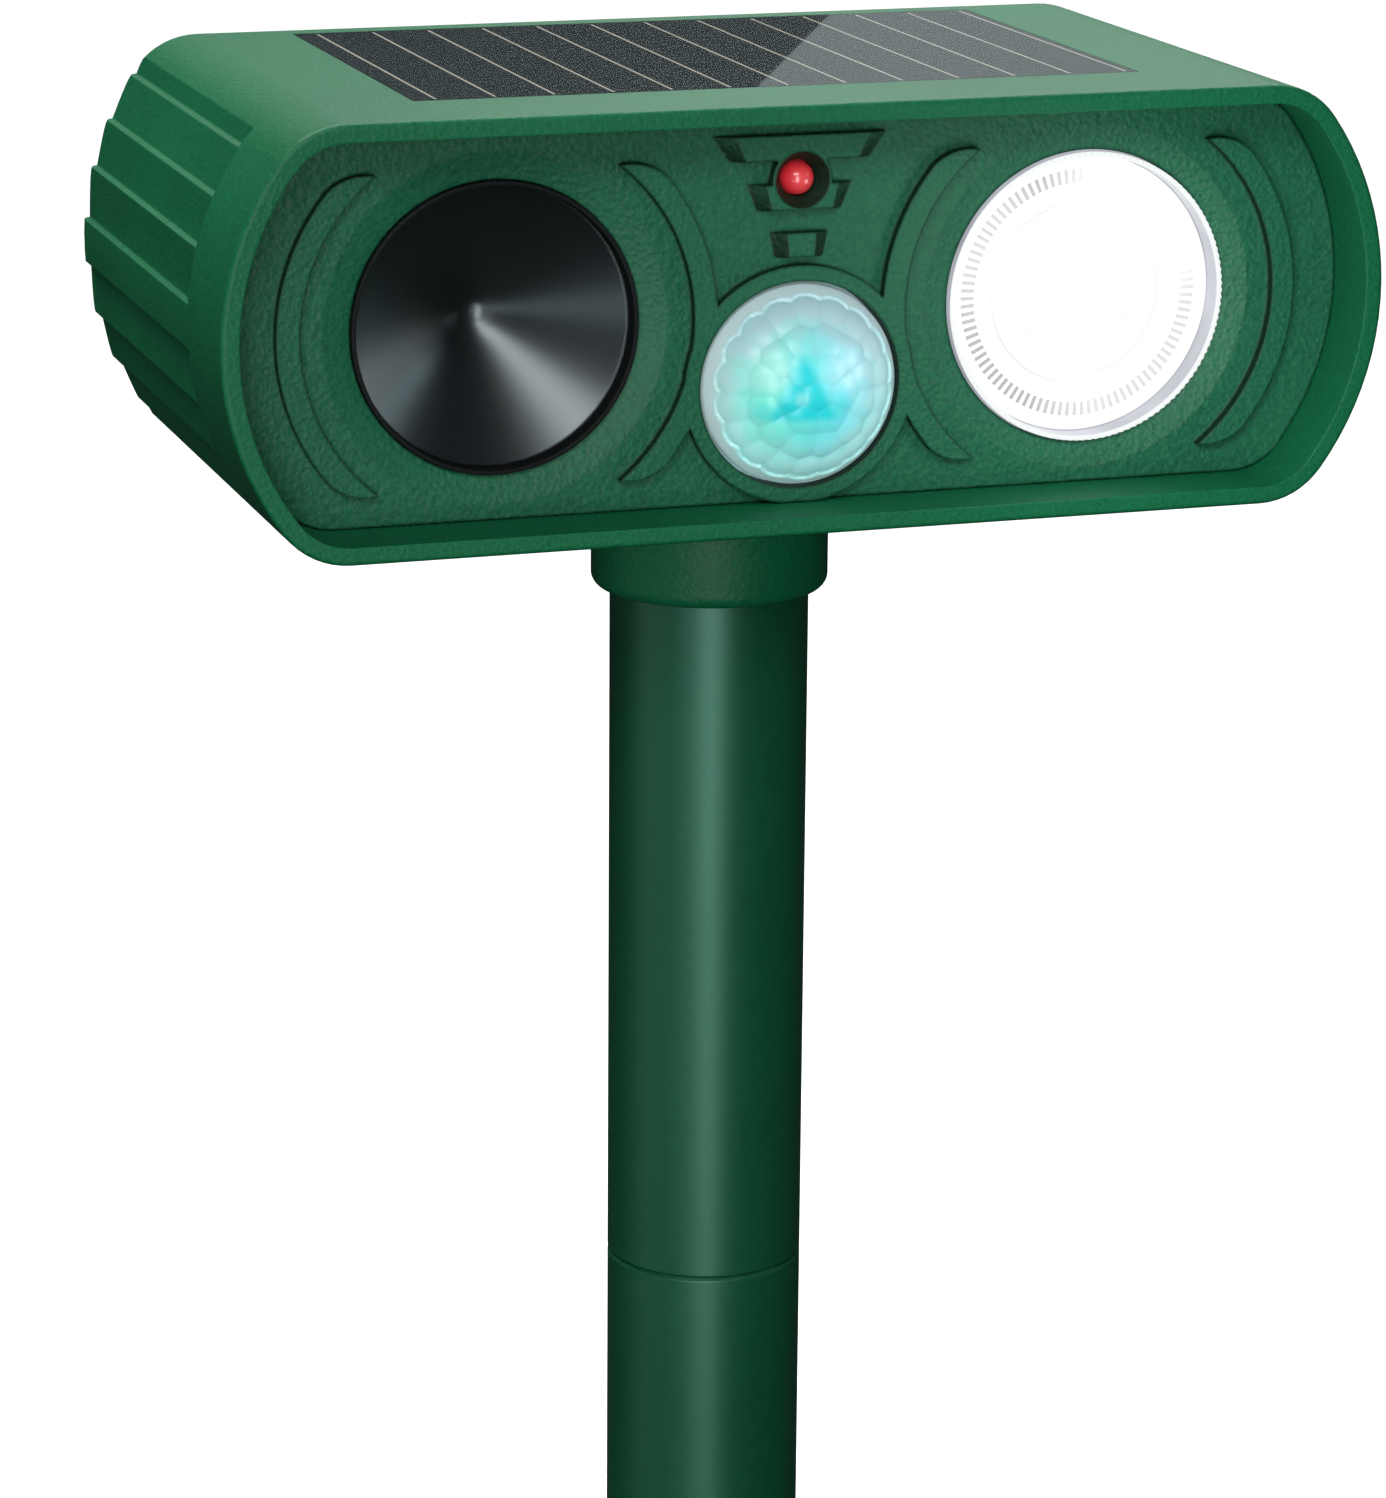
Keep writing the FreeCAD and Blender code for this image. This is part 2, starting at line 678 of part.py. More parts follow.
def pole_socket():
    flange_low = floor + flange_lift
    body = rod_z(0, pole_y, socket_r, socket_low, socket_high)
    rim = [e for e in body.Edges if abs(e.CenterOfMass.z - socket_low) < 0.01 and e.Length > 50]
    body = body.makeFillet(1.6, rim)
    flange = rod_z(0, pole_y, flange_r, flange_low, flange_low + 2.5)
    holes = [rod_z(x, y, clear_r, floor, flange_low + 4) for x, y in flange_holes()]
    bore = rod_z(0, pole_y, pole_r + slip, socket_low - 1, pole_top)
    lead_in = Part.makeCone(pole_r + slip + 0.6, pole_r + slip, 0.6, V(0, pole_y, socket_low), V(0, 0, 1))
    return fuse([body, flange]).cut(Part.makeCompound([bore, lead_in] + holes))


def flange_holes():
    return ring_points(4, flange_screw_r, 45, 0.0, pole_y)


def socket_seal():
    ring = rod_z(0, pole_y, socket_r + 1.3, floor, floor + flange_lift)
    return ring.cut(rod_z(0, pole_y, socket_r + 0.05, floor - 1, floor + 3))


def socket_screws():
    seat = floor + flange_lift + 2.5
    return [screw(V(x, y, seat), V(0, 0, -1), 5.0) for x, y in flange_holes()]


def pole_section(high):
    # A plain tube whose lower end is necked down into a spigot for the next piece.
    low = high - pole_body
    end = low - spigot_length
    neck_r = pole_bore_r - slip
    thin = 1.3
    outline = [
        (pole_bore_r, high), (pole_r - 0.5, high), (pole_r, high - 0.5), (pole_r, low + 0.25),
        (pole_r - 0.25, low), (neck_r, low), (neck_r, end + 1.5), (neck_r - 0.6, end),
        (neck_r - thin, end), (neck_r - thin, low + 3.0), (pole_bore_r, low + 5.0),
    ]
    edges = path_edges(outline, lambda r, z: V(r, pole_y, z))
    return Part.Face(Part.Wire(edges)).revolve(V(0, pole_y, 0), V(0, 0, 1), 360)


def ground_spike():
    # A cup for the pole, a round flange that stops at the soil, and four tapering fins.
    flange_top = foot_z - spike_cup
    soil = flange_top - spike_flange_thick
    cup = rod_z(0, pole_y, pole_r, flange_top, foot_z)
    lip = [e for e in cup.Edges if abs(e.CenterOfMass.z - foot_z) < 0.01 and e.Length > 50]
    cup = cup.makeFillet(0.4, lip)
    flange = rod_z(0, pole_y, spike_flange_r, soil, flange_top)
    rims = [e for e in flange.Edges if e.Length > 100]
    flange = flange.makeFillet(0.9, rims)
    tip = soil - spike_length
    wide = spike_half_width
    blade = Part.makePolygon([
        V(-wide, 0, soil), V(wide, 0, soil), V(wide - 1.5, 0, soil - 30), V(0.8, 0, tip),
        V(-0.8, 0, tip), V(-wide + 1.5, 0, soil - 30), V(-wide, 0, soil),
    ])
    parts = [cup, flange]
    for turn in (0, 90):
        fin = Part.Face(blade).extrude(V(0, 2.6, 0))
        fin.translate(V(0, -1.3, 0))
        fin.rotate(V(0, 0, 0), V(0, 0, 1), turn)
        fin.translate(V(0, pole_y, 0))
        parts.append(fin)
    core = Part.makeCone(5.0, 1.3, spike_length - 6, V(0, pole_y, soil), V(0, 0, -1))
    parts.append(core)
    for i in range(8):
        angle = 45.0 * i
        web = Part.makePolygon([V(pole_r - 0.4, 0, flange_top), V(pole_r + 4.2, 0, flange_top),
                                V(pole_r - 0.4, 0, flange_top + 9.0), V(pole_r - 0.4, 0, flange_top)])
        rib = Part.Face(web).extrude(V(0, 1.4, 0))
        rib.translate(V(0, -0.7, 0))
        rib.rotate(V(0, 0, 0), V(0, 0, 1), angle)
        rib.translate(V(0, pole_y, 0))
        parts.append(rib)
    bore = rod_z(0, pole_y, pole_bore_r, foot_z - spigot_length - 1, foot_z + 1)
    return fuse(parts).cut(bore)


def rear_cover():
    plate = head_slab(wall + 0.2, cover_y, cover_back)
    adds = [plate]
    adds.append(rod_y(knob_x, 0, dial_recess_r + 1.8, cover_back - dial_recess - 1.6, cover_back))
    adds.append(box(usb_x - 8, usb_x + 8, cover_y - 2.0, cover_back, usb_z - 5.5, usb_z + 5.5))
    adds.append(box(-7.0, 7.0, cover_y - 4.0, cover_back, keyhole_z - 6.5, keyhole_z + keyhole_slot + 4.0))
    for x, z in rear_board_holes():
        adds.append(rod_y(x, z, 2.4, rear_board_y + board_thick, cover_back - 0.5))
    cuts = []
    for x, z in corners(boss_x, boss_z):
        cuts.append(rod_y(x, z, clear_r, cover_y - 1, cover_back + 1))
        cuts.append(rod_y(x, z, screw_head_r + 0.3, cover_back - 1.3, cover_back + 1))
    cuts.append(rod_y(knob_x, 0, dial_recess_r, cover_back - dial_recess, cover_back + 1))
    cuts.append(rod_y(knob_x, 0, 3.65, cover_y - 6, cover_back))
    for x, z in rear_board_holes():
        cuts.append(rod_y(x, z, small_pilot_r, rear_board_y, cover_y))
    # USB opening with a shallow seat for the rubber flap
    cuts.append(rounded_slot(usb_x, usb_z, 6.0, 3.6, cover_y - 3, cover_back + 1))
    cuts.append(box(usb_x - 7.3, usb_x + 7.3, cover_back - 1.0, cover_back + 1, usb_z - 4.9, usb_z + 9.3))
    # Keyhole: the screw head goes in below and slides up behind the slot
    cuts.append(rod_y(0, keyhole_z, keyhole_r, cover_y - 2.4, cover_back + 1))
    slot_top = keyhole_z + keyhole_slot
    cuts.append(box(-keyhole_slot_r, keyhole_slot_r, cover_y - 2.4, cover_back + 1, keyhole_z, slot_top))
    cuts.append(rod_y(0, slot_top, keyhole_slot_r, cover_y - 2.4, cover_back + 1))
    cuts.append(rod_y(0, slot_top, keyhole_r, cover_y - 2.4, cover_y))
    cuts.append(box(-keyhole_r, keyhole_r, cover_y - 2.4, cover_y, keyhole_z, slot_top))
    # Upright ribs on the plain half of the cover
    for x in cover_ribs():
        adds.append(box(x - 0.6, x + 0.6, cover_back - 0.3, cover_back + 0.8, -14.0, 14.0))
    body = fuse(adds).common(head_slab(wall + 0.2, rear_board_y - 1, cover_back + 2))
    return body.cut(Part.makeCompound(cuts))


def cover_ribs():
    return [-20.0 - 5.0 * i for i in range(7)]


def rounded_slot(x, z, half_w, half_h, y0, y1):
    middle = box(x - half_w + half_h, x + half_w - half_h, y0, y1, z - half_h, z + half_h)
    ends = [rod_y(x + way * (half_w - half_h), z, half_h, y0, y1) for way in (-1, 1)]
    return fuse([middle] + ends)


def rear_board_holes():
    return [(9.0, 13.5), (55.0, 13.5), (9.0, -14.0), (55.0, -14.0)]


def rear_seal():
    outer = head_slab(wall + 0.3, rear_ledge_y, cover_y)
    seal = outer.cut(head_slab(wall + 2.1, rear_ledge_y - 1, cover_y + 1))
    bosses = [rod_y(x, z, 3.5, rear_ledge_y - 1, cover_y + 1) for x, z in corners(boss_x, boss_z)]
    return seal.cut(Part.makeCompound(bosses))


def rear_screws():
    seat = cover_back - 1.3
    return [screw(V(x, seat, z), V(0, -1, 0), 10.0, head_h=1.2) for x, z in corners(boss_x, boss_z)]


def rear_board():
    board = box(5.5, 58.5, rear_board_y, rear_board_y + board_thick, -17.0, 16.5)
    holes = [rod_y(x, z, small_clear_r, rear_board_y - 1, rear_board_y + 3) for x, z in rear_board_holes()]
    return board.cut(Part.makeCompound(holes))


def rear_board_screws():
    way = V(0, 1, 0)
    spots = [V(x, rear_board_y, z) for x, z in rear_board_holes()]
    return [screw(spot, way, 4.6, small_head_r, 1.2, small_thread_r) for spot in spots]


def usb_socket():
    front = rear_board_y + board_thick
    base = box(usb_x - 5.2, usb_x + 5.2, front, front + 3.2, usb_z - 4.0, usb_z + 3.2)
    shell = rounded_slot(usb_x, usb_z, 4.5, 1.6, front + 3.2, cover_back - 2.4)
    mouth = rounded_slot(usb_x, usb_z, 4.2, 1.3, cover_back - 9.0, cover_back - 2.0)
    tongue = box(usb_x - 3.3, usb_x + 3.3, cover_back - 9.2, cover_back - 3.4, usb_z - 0.35, usb_z + 0.35)
    return fuse([fuse([base, shell]).cut(mouth), tongue])


def mode_switch():
    front = rear_board_y + board_thick
    can = box(knob_x - 6.5, knob_x + 6.5, front, front + 5.6, -6.5, 6.5)
    bush = rod_y(knob_x, 0, 3.5, front + 5.6, cover_back - dial_recess + 0.6)
    bore = rod_y(knob_x, 0, 2.0 + 0.06, front + 1.0, cover_back)
    return fuse([can, bush]).cut(bore)


def switch_shaft():
    front = rear_board_y + board_thick
    shaft = rod_y(knob_x, 0, 2.0, front + 1.1, cover_back + 1.2)
    flat = box(knob_x - 3, knob_x + 3, cover_back - dial_recess + 1.2, cover_back + 2, 1.4, 3)
    return shaft.cut(flat)


def mode_knob():
    low = cover_back - dial_recess + 0.7
    skirt = rod_y(knob_x, 0, knob_r, low, low + 2.4)
    edge = [e for e in skirt.Edges if abs(e.CenterOfMass.y - low - 2.4) < 0.01 and e.Length > 50]
    skirt = skirt.makeFillet(0.7, edge)
    # The grip bar across the middle ends in a pointer at the top.
    grip = plate_xz([
        (knob_x - 2.6, -7.6), (knob_x, -8.6, knob_x + 2.6, -7.6), (knob_x + 2.2, 7.0), (knob_x, 9.2),
        (knob_x - 2.2, 7.0),
    ], low + 2.0, low + 7.2)
    knurls = []
    for x, z in ring_points(24, knob_r, 0, knob_x, 0.0):
        knurls.append(rod_y(x, z, 0.45, low - 1, low + 3))
    bore = rod_y(knob_x, 0, 2.0, low - 1, cover_back + 1.2)
    hollow = tube_y(knob_x, 0, knob_r - 1.6, 3.9, low - 1, low + 0.9)
    ring = rod_y(knob_x, 0, 3.9, low - 1, low + 0.4)
    flat = box(knob_x - 3, knob_x + 3, cover_back - dial_recess + 1.2, cover_back + 2, 1.4, 3)
    body = fuse([skirt, grip]).cut(Part.makeCompound(knurls + [hollow, ring]))
    return body.cut(bore.cut(flat))


def port_flap():
    # Soft cover over the charging socket: a lipped plate with a plug behind it and a pull tab.
    plate = box(usb_x - 7.0, usb_x + 7.0, cover_back - 0.9, cover_back + 0.5, usb_z - 4.6, usb_z + 5.0)
    plug = rounded_slot(usb_x, usb_z, 5.4, 3.0, cover_back - 2.2, cover_back - 0.5)
    tab = box(usb_x - 2.5, usb_x + 2.5, cover_back + 0.4, cover_back + 2.0, usb_z - 4.6, usb_z - 3.4)
    return fuse([plate, plug, tab])


def flap_strap():
    # The flap's fixed end, pressed into the cover above the socket.
    strap = box(usb_x - 5.0, usb_x + 5.0, cover_back - 0.9, cover_back + 0.3, usb_z + 5.25, usb_z + 9.1)
    return strap


def wire_pair(points, rise):
    # Two wires side by side; the second also runs higher or lower by rise between its ends.
    second = [(x + wire_pitch, y, z) for x, y, z in points]
    second[2:-2] = [(x, y, z + rise) for x, y, z in second[2:-2]]
    return wire_run(points, wire_r), wire_run(second, wire_r)


def solar_wires():
    under = top - panel_thick + panel_tape
    x = -10.6 + wire_pitch / 2
    route = [
        (solar_wire_x, solar_wire_y, under), (solar_wire_x, solar_wire_y, 14.0), (-34.0, 54.0, 11.5),
        (-26.0, 40.0, 12.0), (-15.0, 33.0, 7.0), (x, wire_lane_y, -4.0), (x, wire_lane_y, header_z),
        (x, header_depth(), header_z),
    ]
    return wire_pair(route, 1.2)


def speaker_wires():
    start = -lamp_x - wire_pitch / 2
    x = -10.6 - 1.5 * wire_pitch
    route = [
        (start, 23.45, lamp_z), (start, wire_lane_y, lamp_z), (-27.0, wire_lane_y, -8.5),
        (x, wire_lane_y, header_z), (x, header_depth(), header_z),
    ]
    return wire_pair(route, 1.2)


def battery_wires():
    face_x = battery_half + contact_thick
    tab_z = battery_z + 4.8
    black = [
        (-face_x, battery_y, tab_z), (-face_x - 5.5, battery_y, tab_z), (-face_x - 4.0, 42.0, 8.5),
        (-24.0, 39.5, 8.4), (-4.0, 38.0, 8.0), (6.7, 32.0, 0.0), (6.7, wire_lane_y, header_z),
        (6.7, header_depth(), header_z),
    ]
    red = [
        (face_x, battery_y, tab_z), (face_x + 5.5, battery_y, tab_z), (face_x + 4.0, 42.0, 8.0),
        (25.0, 38.5, 8.0), (14.0, 32.0, 0.0), (9.3, wire_lane_y, header_z), (9.3, header_depth(), header_z),
    ]
    return wire_run(red, wire_r), wire_run(black, wire_r)


def flash_wires():
    x = 10.6 + wire_pitch / 2
    route = [
        (31.0, 27.2, -3.0), (31.0, wire_lane_y, -3.0), (22.0, wire_lane_y, -8.5),
        (x, wire_lane_y, header_z), (x, header_depth(), header_z),
    ]
    return wire_pair(route, -3.5)


def link_cable():
    # Joins the rear board to the main board over the battery.
    route = [
        (26.0, rear_board_y, 9.0), (26.0, 54.0, 9.0), (20.0, 44.0, 13.0), (12.0, 36.0, 12.8),
        (10.0, 30.0, 11.1), (10.0, header_depth(), 11.1),
    ]
    return wire_run(route, cable_r)


def build_nodes():
    tape, board, cells, cover = solar_layers()
    nodes = {
        "main_housing": main_housing(),
        "face_plate": face_plate(),
        "face_screws": face_screws(),
        "panel_tape": tape,
        "solar_board": board,
        "solar_cells": cells,
        "solar_cover": cover,
        "speaker_frame": speaker_frame(),
        "speaker_cone": speaker_cone(),
        "speaker_piezo": speaker_piezo(),
        "speaker_gasket": tube_y(-lamp_x, lamp_z, 20.2, 17.7, face_back, face_back + 1.0),
        "speaker_screws": clamp_screws(-lamp_x),
        "flash_lens": flash_lens(),
        "flash_reflector": flash_reflector(),
        "flash_board": flash_board(),
        "flash_leds": flash_leds(),
        "flash_screws": clamp_screws(lamp_x),
        "pir_lens": pir_lens(),
        "pir_retainer": pir_retainer(),
        "pir_sensor": pir_sensor(),
        "pir_window": pir_window(),
        "indicator_led": indicator_led(),
        "indicator_leads": indicator_leads(),
        "main_board": main_board(),
        "board_screws": board_screws(),
        "control_chip": control_chip(),
        "driver_transformer": driver_transformer(),
        "transformer_winding": transformer_winding(),
        "filter_capacitors": filter_capacitors(),
        "wire_headers": wire_headers(),
        "battery_cell": battery_cell(),
        "battery_cradle": battery_cradle(),
        "battery_contacts": battery_contacts(),
        "cradle_screws": cradle_screws(),
        "pole_socket": pole_socket(),
        "socket_seal": socket_seal(),
        "socket_screws": socket_screws(),
        "rear_cover": rear_cover(),
        "rear_seal": rear_seal(),
        "rear_screws": rear_screws(),
        "rear_board": rear_board(),
        "rear_board_screws": rear_board_screws(),
        "usb_socket": usb_socket(),
        "mode_switch": mode_switch(),
        "switch_shaft": switch_shaft(),
        "mode_knob": mode_knob(),
        "port_flap": port_flap(),
        "flap_strap": flap_strap(),
        "pole_upper": pole_section(pole_top),
        "pole_lower": pole_section(joint_z),
        "ground_spike": ground_spike(),
    }
    for source, pair in (("solar", solar_wires()), ("speaker", speaker_wires()),
                         ("battery", battery_wires()), ("flash", flash_wires())):
        nodes[source + "_wire_red"], nodes[source + "_wire_black"] = pair
    nodes["link_cable"] = link_cable()
    return nodes


def export(name, shape):
    solids = shape if isinstance(shape, list) else [shape]
    whole = Part.makeCompound(solids) if len(solids) > 1 else solids[0]
    whole.translate(V(0, -pole_y, head_above_ground))
    whole.exportStep("parts/%s.step" % name)
    box_now = whole.BoundBox
    print("%-20s solids %2d valid %s volume %9.1f  x %.1f..%.1f y %.1f..%.1f z %.1f..%.1f" % (
        name, len(whole.Solids), whole.isValid(), whole.Volume, box_now.XMin, box_now.XMax,
        box_now.YMin, box_now.YMax, box_now.ZMin, box_now.ZMax))


os.makedirs("parts", exist_ok=True)
for node_name, node_shape in build_nodes().items():
    export(node_name, node_shape)
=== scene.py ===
import json
import math
import bmesh
import bpy
from mathutils import Matrix, Vector


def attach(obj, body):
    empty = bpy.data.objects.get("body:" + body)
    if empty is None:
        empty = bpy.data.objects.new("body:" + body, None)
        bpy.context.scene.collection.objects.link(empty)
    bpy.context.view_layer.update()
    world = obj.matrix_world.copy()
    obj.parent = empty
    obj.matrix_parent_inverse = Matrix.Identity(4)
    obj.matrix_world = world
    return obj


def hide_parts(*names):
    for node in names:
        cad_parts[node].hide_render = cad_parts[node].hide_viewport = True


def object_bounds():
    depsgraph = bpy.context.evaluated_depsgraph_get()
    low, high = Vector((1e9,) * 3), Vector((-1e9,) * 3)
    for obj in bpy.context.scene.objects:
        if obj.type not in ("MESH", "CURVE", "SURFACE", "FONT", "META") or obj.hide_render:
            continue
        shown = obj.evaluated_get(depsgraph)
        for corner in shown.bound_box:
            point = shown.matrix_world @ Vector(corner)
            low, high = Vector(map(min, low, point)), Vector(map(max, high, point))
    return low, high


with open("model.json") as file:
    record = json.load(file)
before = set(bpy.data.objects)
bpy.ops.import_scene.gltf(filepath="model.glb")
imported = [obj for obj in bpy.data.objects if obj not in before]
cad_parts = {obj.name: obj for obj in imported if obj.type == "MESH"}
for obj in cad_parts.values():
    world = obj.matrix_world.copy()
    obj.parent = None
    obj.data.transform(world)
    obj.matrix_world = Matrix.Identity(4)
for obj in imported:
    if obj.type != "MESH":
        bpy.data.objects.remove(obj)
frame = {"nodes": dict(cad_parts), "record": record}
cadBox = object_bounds()
scene = bpy.context.scene
print("frame loaded:", len(frame["nodes"]), "nodes")

mm = 0.001


class Wire:
    # One node's output. Plain arithmetic on it adds Math nodes.
    def __init__(self, graph, socket):
        self.graph = graph
        self.socket = socket

    def maths(self, operation, *inputs):
        return self.graph.node("ShaderNodeMath", {"operation": operation}, inputs)

    def __add__(self, other):
        return self.maths("ADD", self, other)

    def __radd__(self, other):
        return self.maths("ADD", other, self)

    def __sub__(self, other):
        return self.maths("SUBTRACT", self, other)

    def __rsub__(self, other):
        return self.maths("SUBTRACT", other, self)

    def __mul__(self, other):
        return self.maths("MULTIPLY", self, other)

    def __rmul__(self, other):
        return self.maths("MULTIPLY", other, self)

    def __truediv__(self, other):
        return self.maths("DIVIDE", self, other)

    def __pow__(self, other):
        return self.maths("POWER", self, other)

    def __gt__(self, other):
        return self.maths("GREATER_THAN", self, other)

    def __lt__(self, other):
        return self.maths("LESS_THAN", self, other)

    def __abs__(self):
        return self.maths("ABSOLUTE", self)

    def clamp(self):
        return self.graph.node("ShaderNodeClamp", {}, [self])

    def ramp(self, low, high):
        # 0 below low, 1 above high, smooth between
        smooth = {"interpolation_type": "SMOOTHSTEP"}
        return self.graph.node("ShaderNodeMapRange", smooth, [self, low, high])


class Graph:
    def __init__(self, tree):
        self.tree = tree

    def node(self, kind, settings=None, inputs=(), out=0):
        made = self.tree.nodes.new(kind)
        for key, value in (settings or {}).items():
            setattr(made, key, value)
        pairs = inputs.items() if isinstance(inputs, dict) else enumerate(inputs)
        for key, value in pairs:
            if isinstance(value, Wire):
                self.tree.links.new(value.socket, made.inputs[key])
            elif value is not None:
                made.inputs[key].default_value = value
        return Wire(self, made.outputs[out]) if len(made.outputs) else None


class Finish(Graph):
    # A material under construction, with the few patterns that most finishes share.
    def __init__(self, name):
        self.material = bpy.data.materials.new(name)
        self.material.use_nodes = True
        super().__init__(self.material.node_tree)
        self.tree.nodes.clear()
        self.place = self.node("ShaderNodeTexCoord", out="Object")

    def stretched(self, x, y, z):
        return self.node("ShaderNodeMapping", {}, {"Vector": self.place, "Scale": (x, y, z)})

    def noise(self, size, detail, vector=None, roughness=0.5):
        inputs = {"Vector": vector or self.place, "Scale": 1 / size}
        inputs.update({"Detail": detail, "Roughness": roughness})
        return self.node("ShaderNodeTexNoise", {}, inputs)

    def cells(self, size, feature="F1"):
        inputs = {"Vector": self.place, "Scale": 1 / size}
        return self.node("ShaderNodeTexVoronoi", {"feature": feature}, inputs, "Distance")

    def mix(self, factor, a, b):
        a, b = (c if isinstance(c, Wire) else (*c, 1) for c in (a, b))
        return self.node("ShaderNodeMix", {"data_type": "RGBA"}, {0: factor, 6: a, 7: b}, 2)

    def axis(self, name):
        return self.node("ShaderNodeSeparateXYZ", {}, [self.place], name)

    def roundedNormal(self, radius):
        return self.node("ShaderNodeBevel", {"samples": 4}, {"Radius": radius})

    def edges(self, rounded, gain):
        # 1 on sharp edges, 0 on flats
        facing = self.node("ShaderNodeNewGeometry", out="Normal")
        dot = self.node("ShaderNodeVectorMath", {"operation": "DOT_PRODUCT"}, [rounded, facing], "Value")
        return ((1 - dot) * gain).clamp()

    def bump(self, height, depth, normal=None):
        inputs = {"Strength": 1.0, "Distance": depth, "Height": height, "Normal": normal}
        return self.node("ShaderNodeBump", {}, inputs)

    def surface(self, constants, varying):
        # constants sit on the shader's own sockets
        values = {key: (*v, 1) if isinstance(v, tuple) else v for key, v in constants.items()}
        values.update(varying)
        shader = self.node("ShaderNodeBsdfPrincipled", {}, values)
        self.node("ShaderNodeOutputMaterial", {}, {"Surface": shader})
        return self.material


class Shape(Graph):
    # A geometry tree under construction. It takes a mesh and named values and gives a mesh.
    def __init__(self, name, values):
        tree = bpy.data.node_groups.new(name, "GeometryNodeTree")
        tree.interface.new_socket("Geometry", in_out="INPUT", socket_type="NodeSocketGeometry")
        tree.interface.new_socket("Geometry", in_out="OUTPUT", socket_type="NodeSocketGeometry")
        super().__init__(tree)
        self.keys = {}
        for key, value in values.items():
            kind = {int: "NodeSocketInt", float: "NodeSocketFloat", tuple: "NodeSocketVector"}[type(value)]
            socket = tree.interface.new_socket(key, in_out="INPUT", socket_type=kind)
            socket.default_value = value
            self.keys[key] = socket.identifier
        self.group = tree.nodes.new("NodeGroupInput")
        self.base = self.given("Geometry")

    def given(self, key):
        return Wire(self, self.group.outputs[key])

    def vector(self, x=0.0, y=0.0, z=0.0):
        return self.node("ShaderNodeCombineXYZ", {}, [x, y, z])

    def joined(self, wires):
        join = self.tree.nodes.new("GeometryNodeJoinGeometry")
        for wire in wires:
            self.tree.links.new(wire.socket, join.inputs[0])
        return Wire(self, join.outputs[0])

    def close(self, geometry, material):
        whole = self.node("GeometryNodeRealizeInstances", {}, [geometry])
        painted = self.node("GeometryNodeSetMaterial", {}, {"Geometry": whole, "Material": material})
        self.node("NodeGroupOutput", {}, [painted])

    def built(self, mesh, values):
        # The tree's result on the mesh with these values, as a plain mesh.
        holder = bpy.data.objects.new("holder", mesh)
        scene.collection.objects.link(holder)
        modifier = holder.modifiers.new("tree", "NODES")
        modifier.node_group = self.tree
        for key, value in values.items():
            modifier[self.keys[key]] = value
        view = holder.evaluated_get(bpy.context.evaluated_depsgraph_get())
        made = bpy.data.meshes.new_from_object(view)
        holder.modifiers.remove(modifier)
        bpy.data.objects.remove(holder)
        return made


plasticLook = {
    "edgeRadius": 0.35 * mm, "edgeGain": 6.0, "wearAndLightAmount": 0.4, "mottle": 1.2, "rough": 0.5, "roughSpread": 0.16,
    "specular": 0.5, "tint": (1.0, 1.0, 1.0),
}


def shaded(colour, gain, lift=0.0):
    return tuple(min(c * gain + lift, 1.0) for c in colour)


def mouldedPlastic(name, changes):
    # Moulded plastic: fine grain, slow colour drift, and edges mixed toward a second colour: rubbed wear on
    # most parts, a painted highlight on the housing, painted shade on the face plate's relief.
    look = {**plasticLook, **changes}
    colour, wearAndPaintedLight = look["colour"], look["wearAndPaintedLight"]
    f = Finish(name)
    rounded = f.roundedNormal(look["edgeRadius"])
    edge = f.edges(rounded, look["edgeGain"])
    fine = f.noise(look["grain"], 3.0)
    pebble = f.cells(look["grain"] * 1.6)
    drift = f.noise(28 * mm, 3.0)
    scuff = f.noise(2.2 * mm, 6.0, f.stretched(1, 0.35, 1), 0.7).ramp(0.6, 0.75)
    cloud = ((fine - 0.5) * look["mottle"] + (drift - 0.5) * 0.5 + 0.5).clamp()
    tone = f.mix(cloud, shaded(colour, 0.66), shaded(colour, 1.36, 0.004))
    # edges: rubbed wear, a painted highlight on the housing and painted shade on the face plate, by finish
    tone = f.mix(edge * (0.6 + 0.4 * drift) * look["wearAndLightAmount"], tone, wearAndPaintedLight)
    if "walls" in look:
        # painted shade: the side walls of the moulding's steps are darkened toward the edge colour
        across = f.node("ShaderNodeSeparateXYZ", {}, [f.node("ShaderNodeTexCoord", out="Normal")], "Y")
        tone = f.mix((1 - abs(across)).ramp(0.07, 0.25) * look["walls"], tone, wearAndPaintedLight)
    rough = look["rough"] + (fine - 0.5) * look["roughSpread"] + scuff * 0.05 - edge * 0.08
    normal = f.bump(fine * 0.55 + pebble * 0.45, look["grainDepth"], rounded)
    constants = {"Specular IOR Level": look["specular"], "Specular Tint": look["tint"]}
    return f.surface(constants, {"Base Color": tone, "Roughness": rough.clamp(), "Normal": normal})


def metalFinish(name, changes):
    # Plated or brushed metal: stretched scratches, dull patches, bright edges.
    look = {"brush": (1, 8, 1), "depth": 0.008 * mm, **changes}
    f = Finish(name)
    rounded = f.roundedNormal(0.15 * mm)
    edge = f.edges(rounded, 5.0)
    scratch = f.noise(0.5 * mm, 4.0, f.stretched(*look["brush"]))
    patch = f.noise(3 * mm, 3.0)
    tone = f.mix(patch.ramp(0.35, 0.7), look["colour"], look["dull"])
    tone = f.mix(edge * 0.5, tone, look["bright"])
    rough = look["rough"] + (scratch - 0.5) * 0.2 + (patch - 0.5) * 0.12
    normal = f.bump(scratch, look["depth"], rounded)
    return f.surface({"Metallic": 1.0}, {"Base Color": tone, "Roughness": rough.clamp(), "Normal": normal})


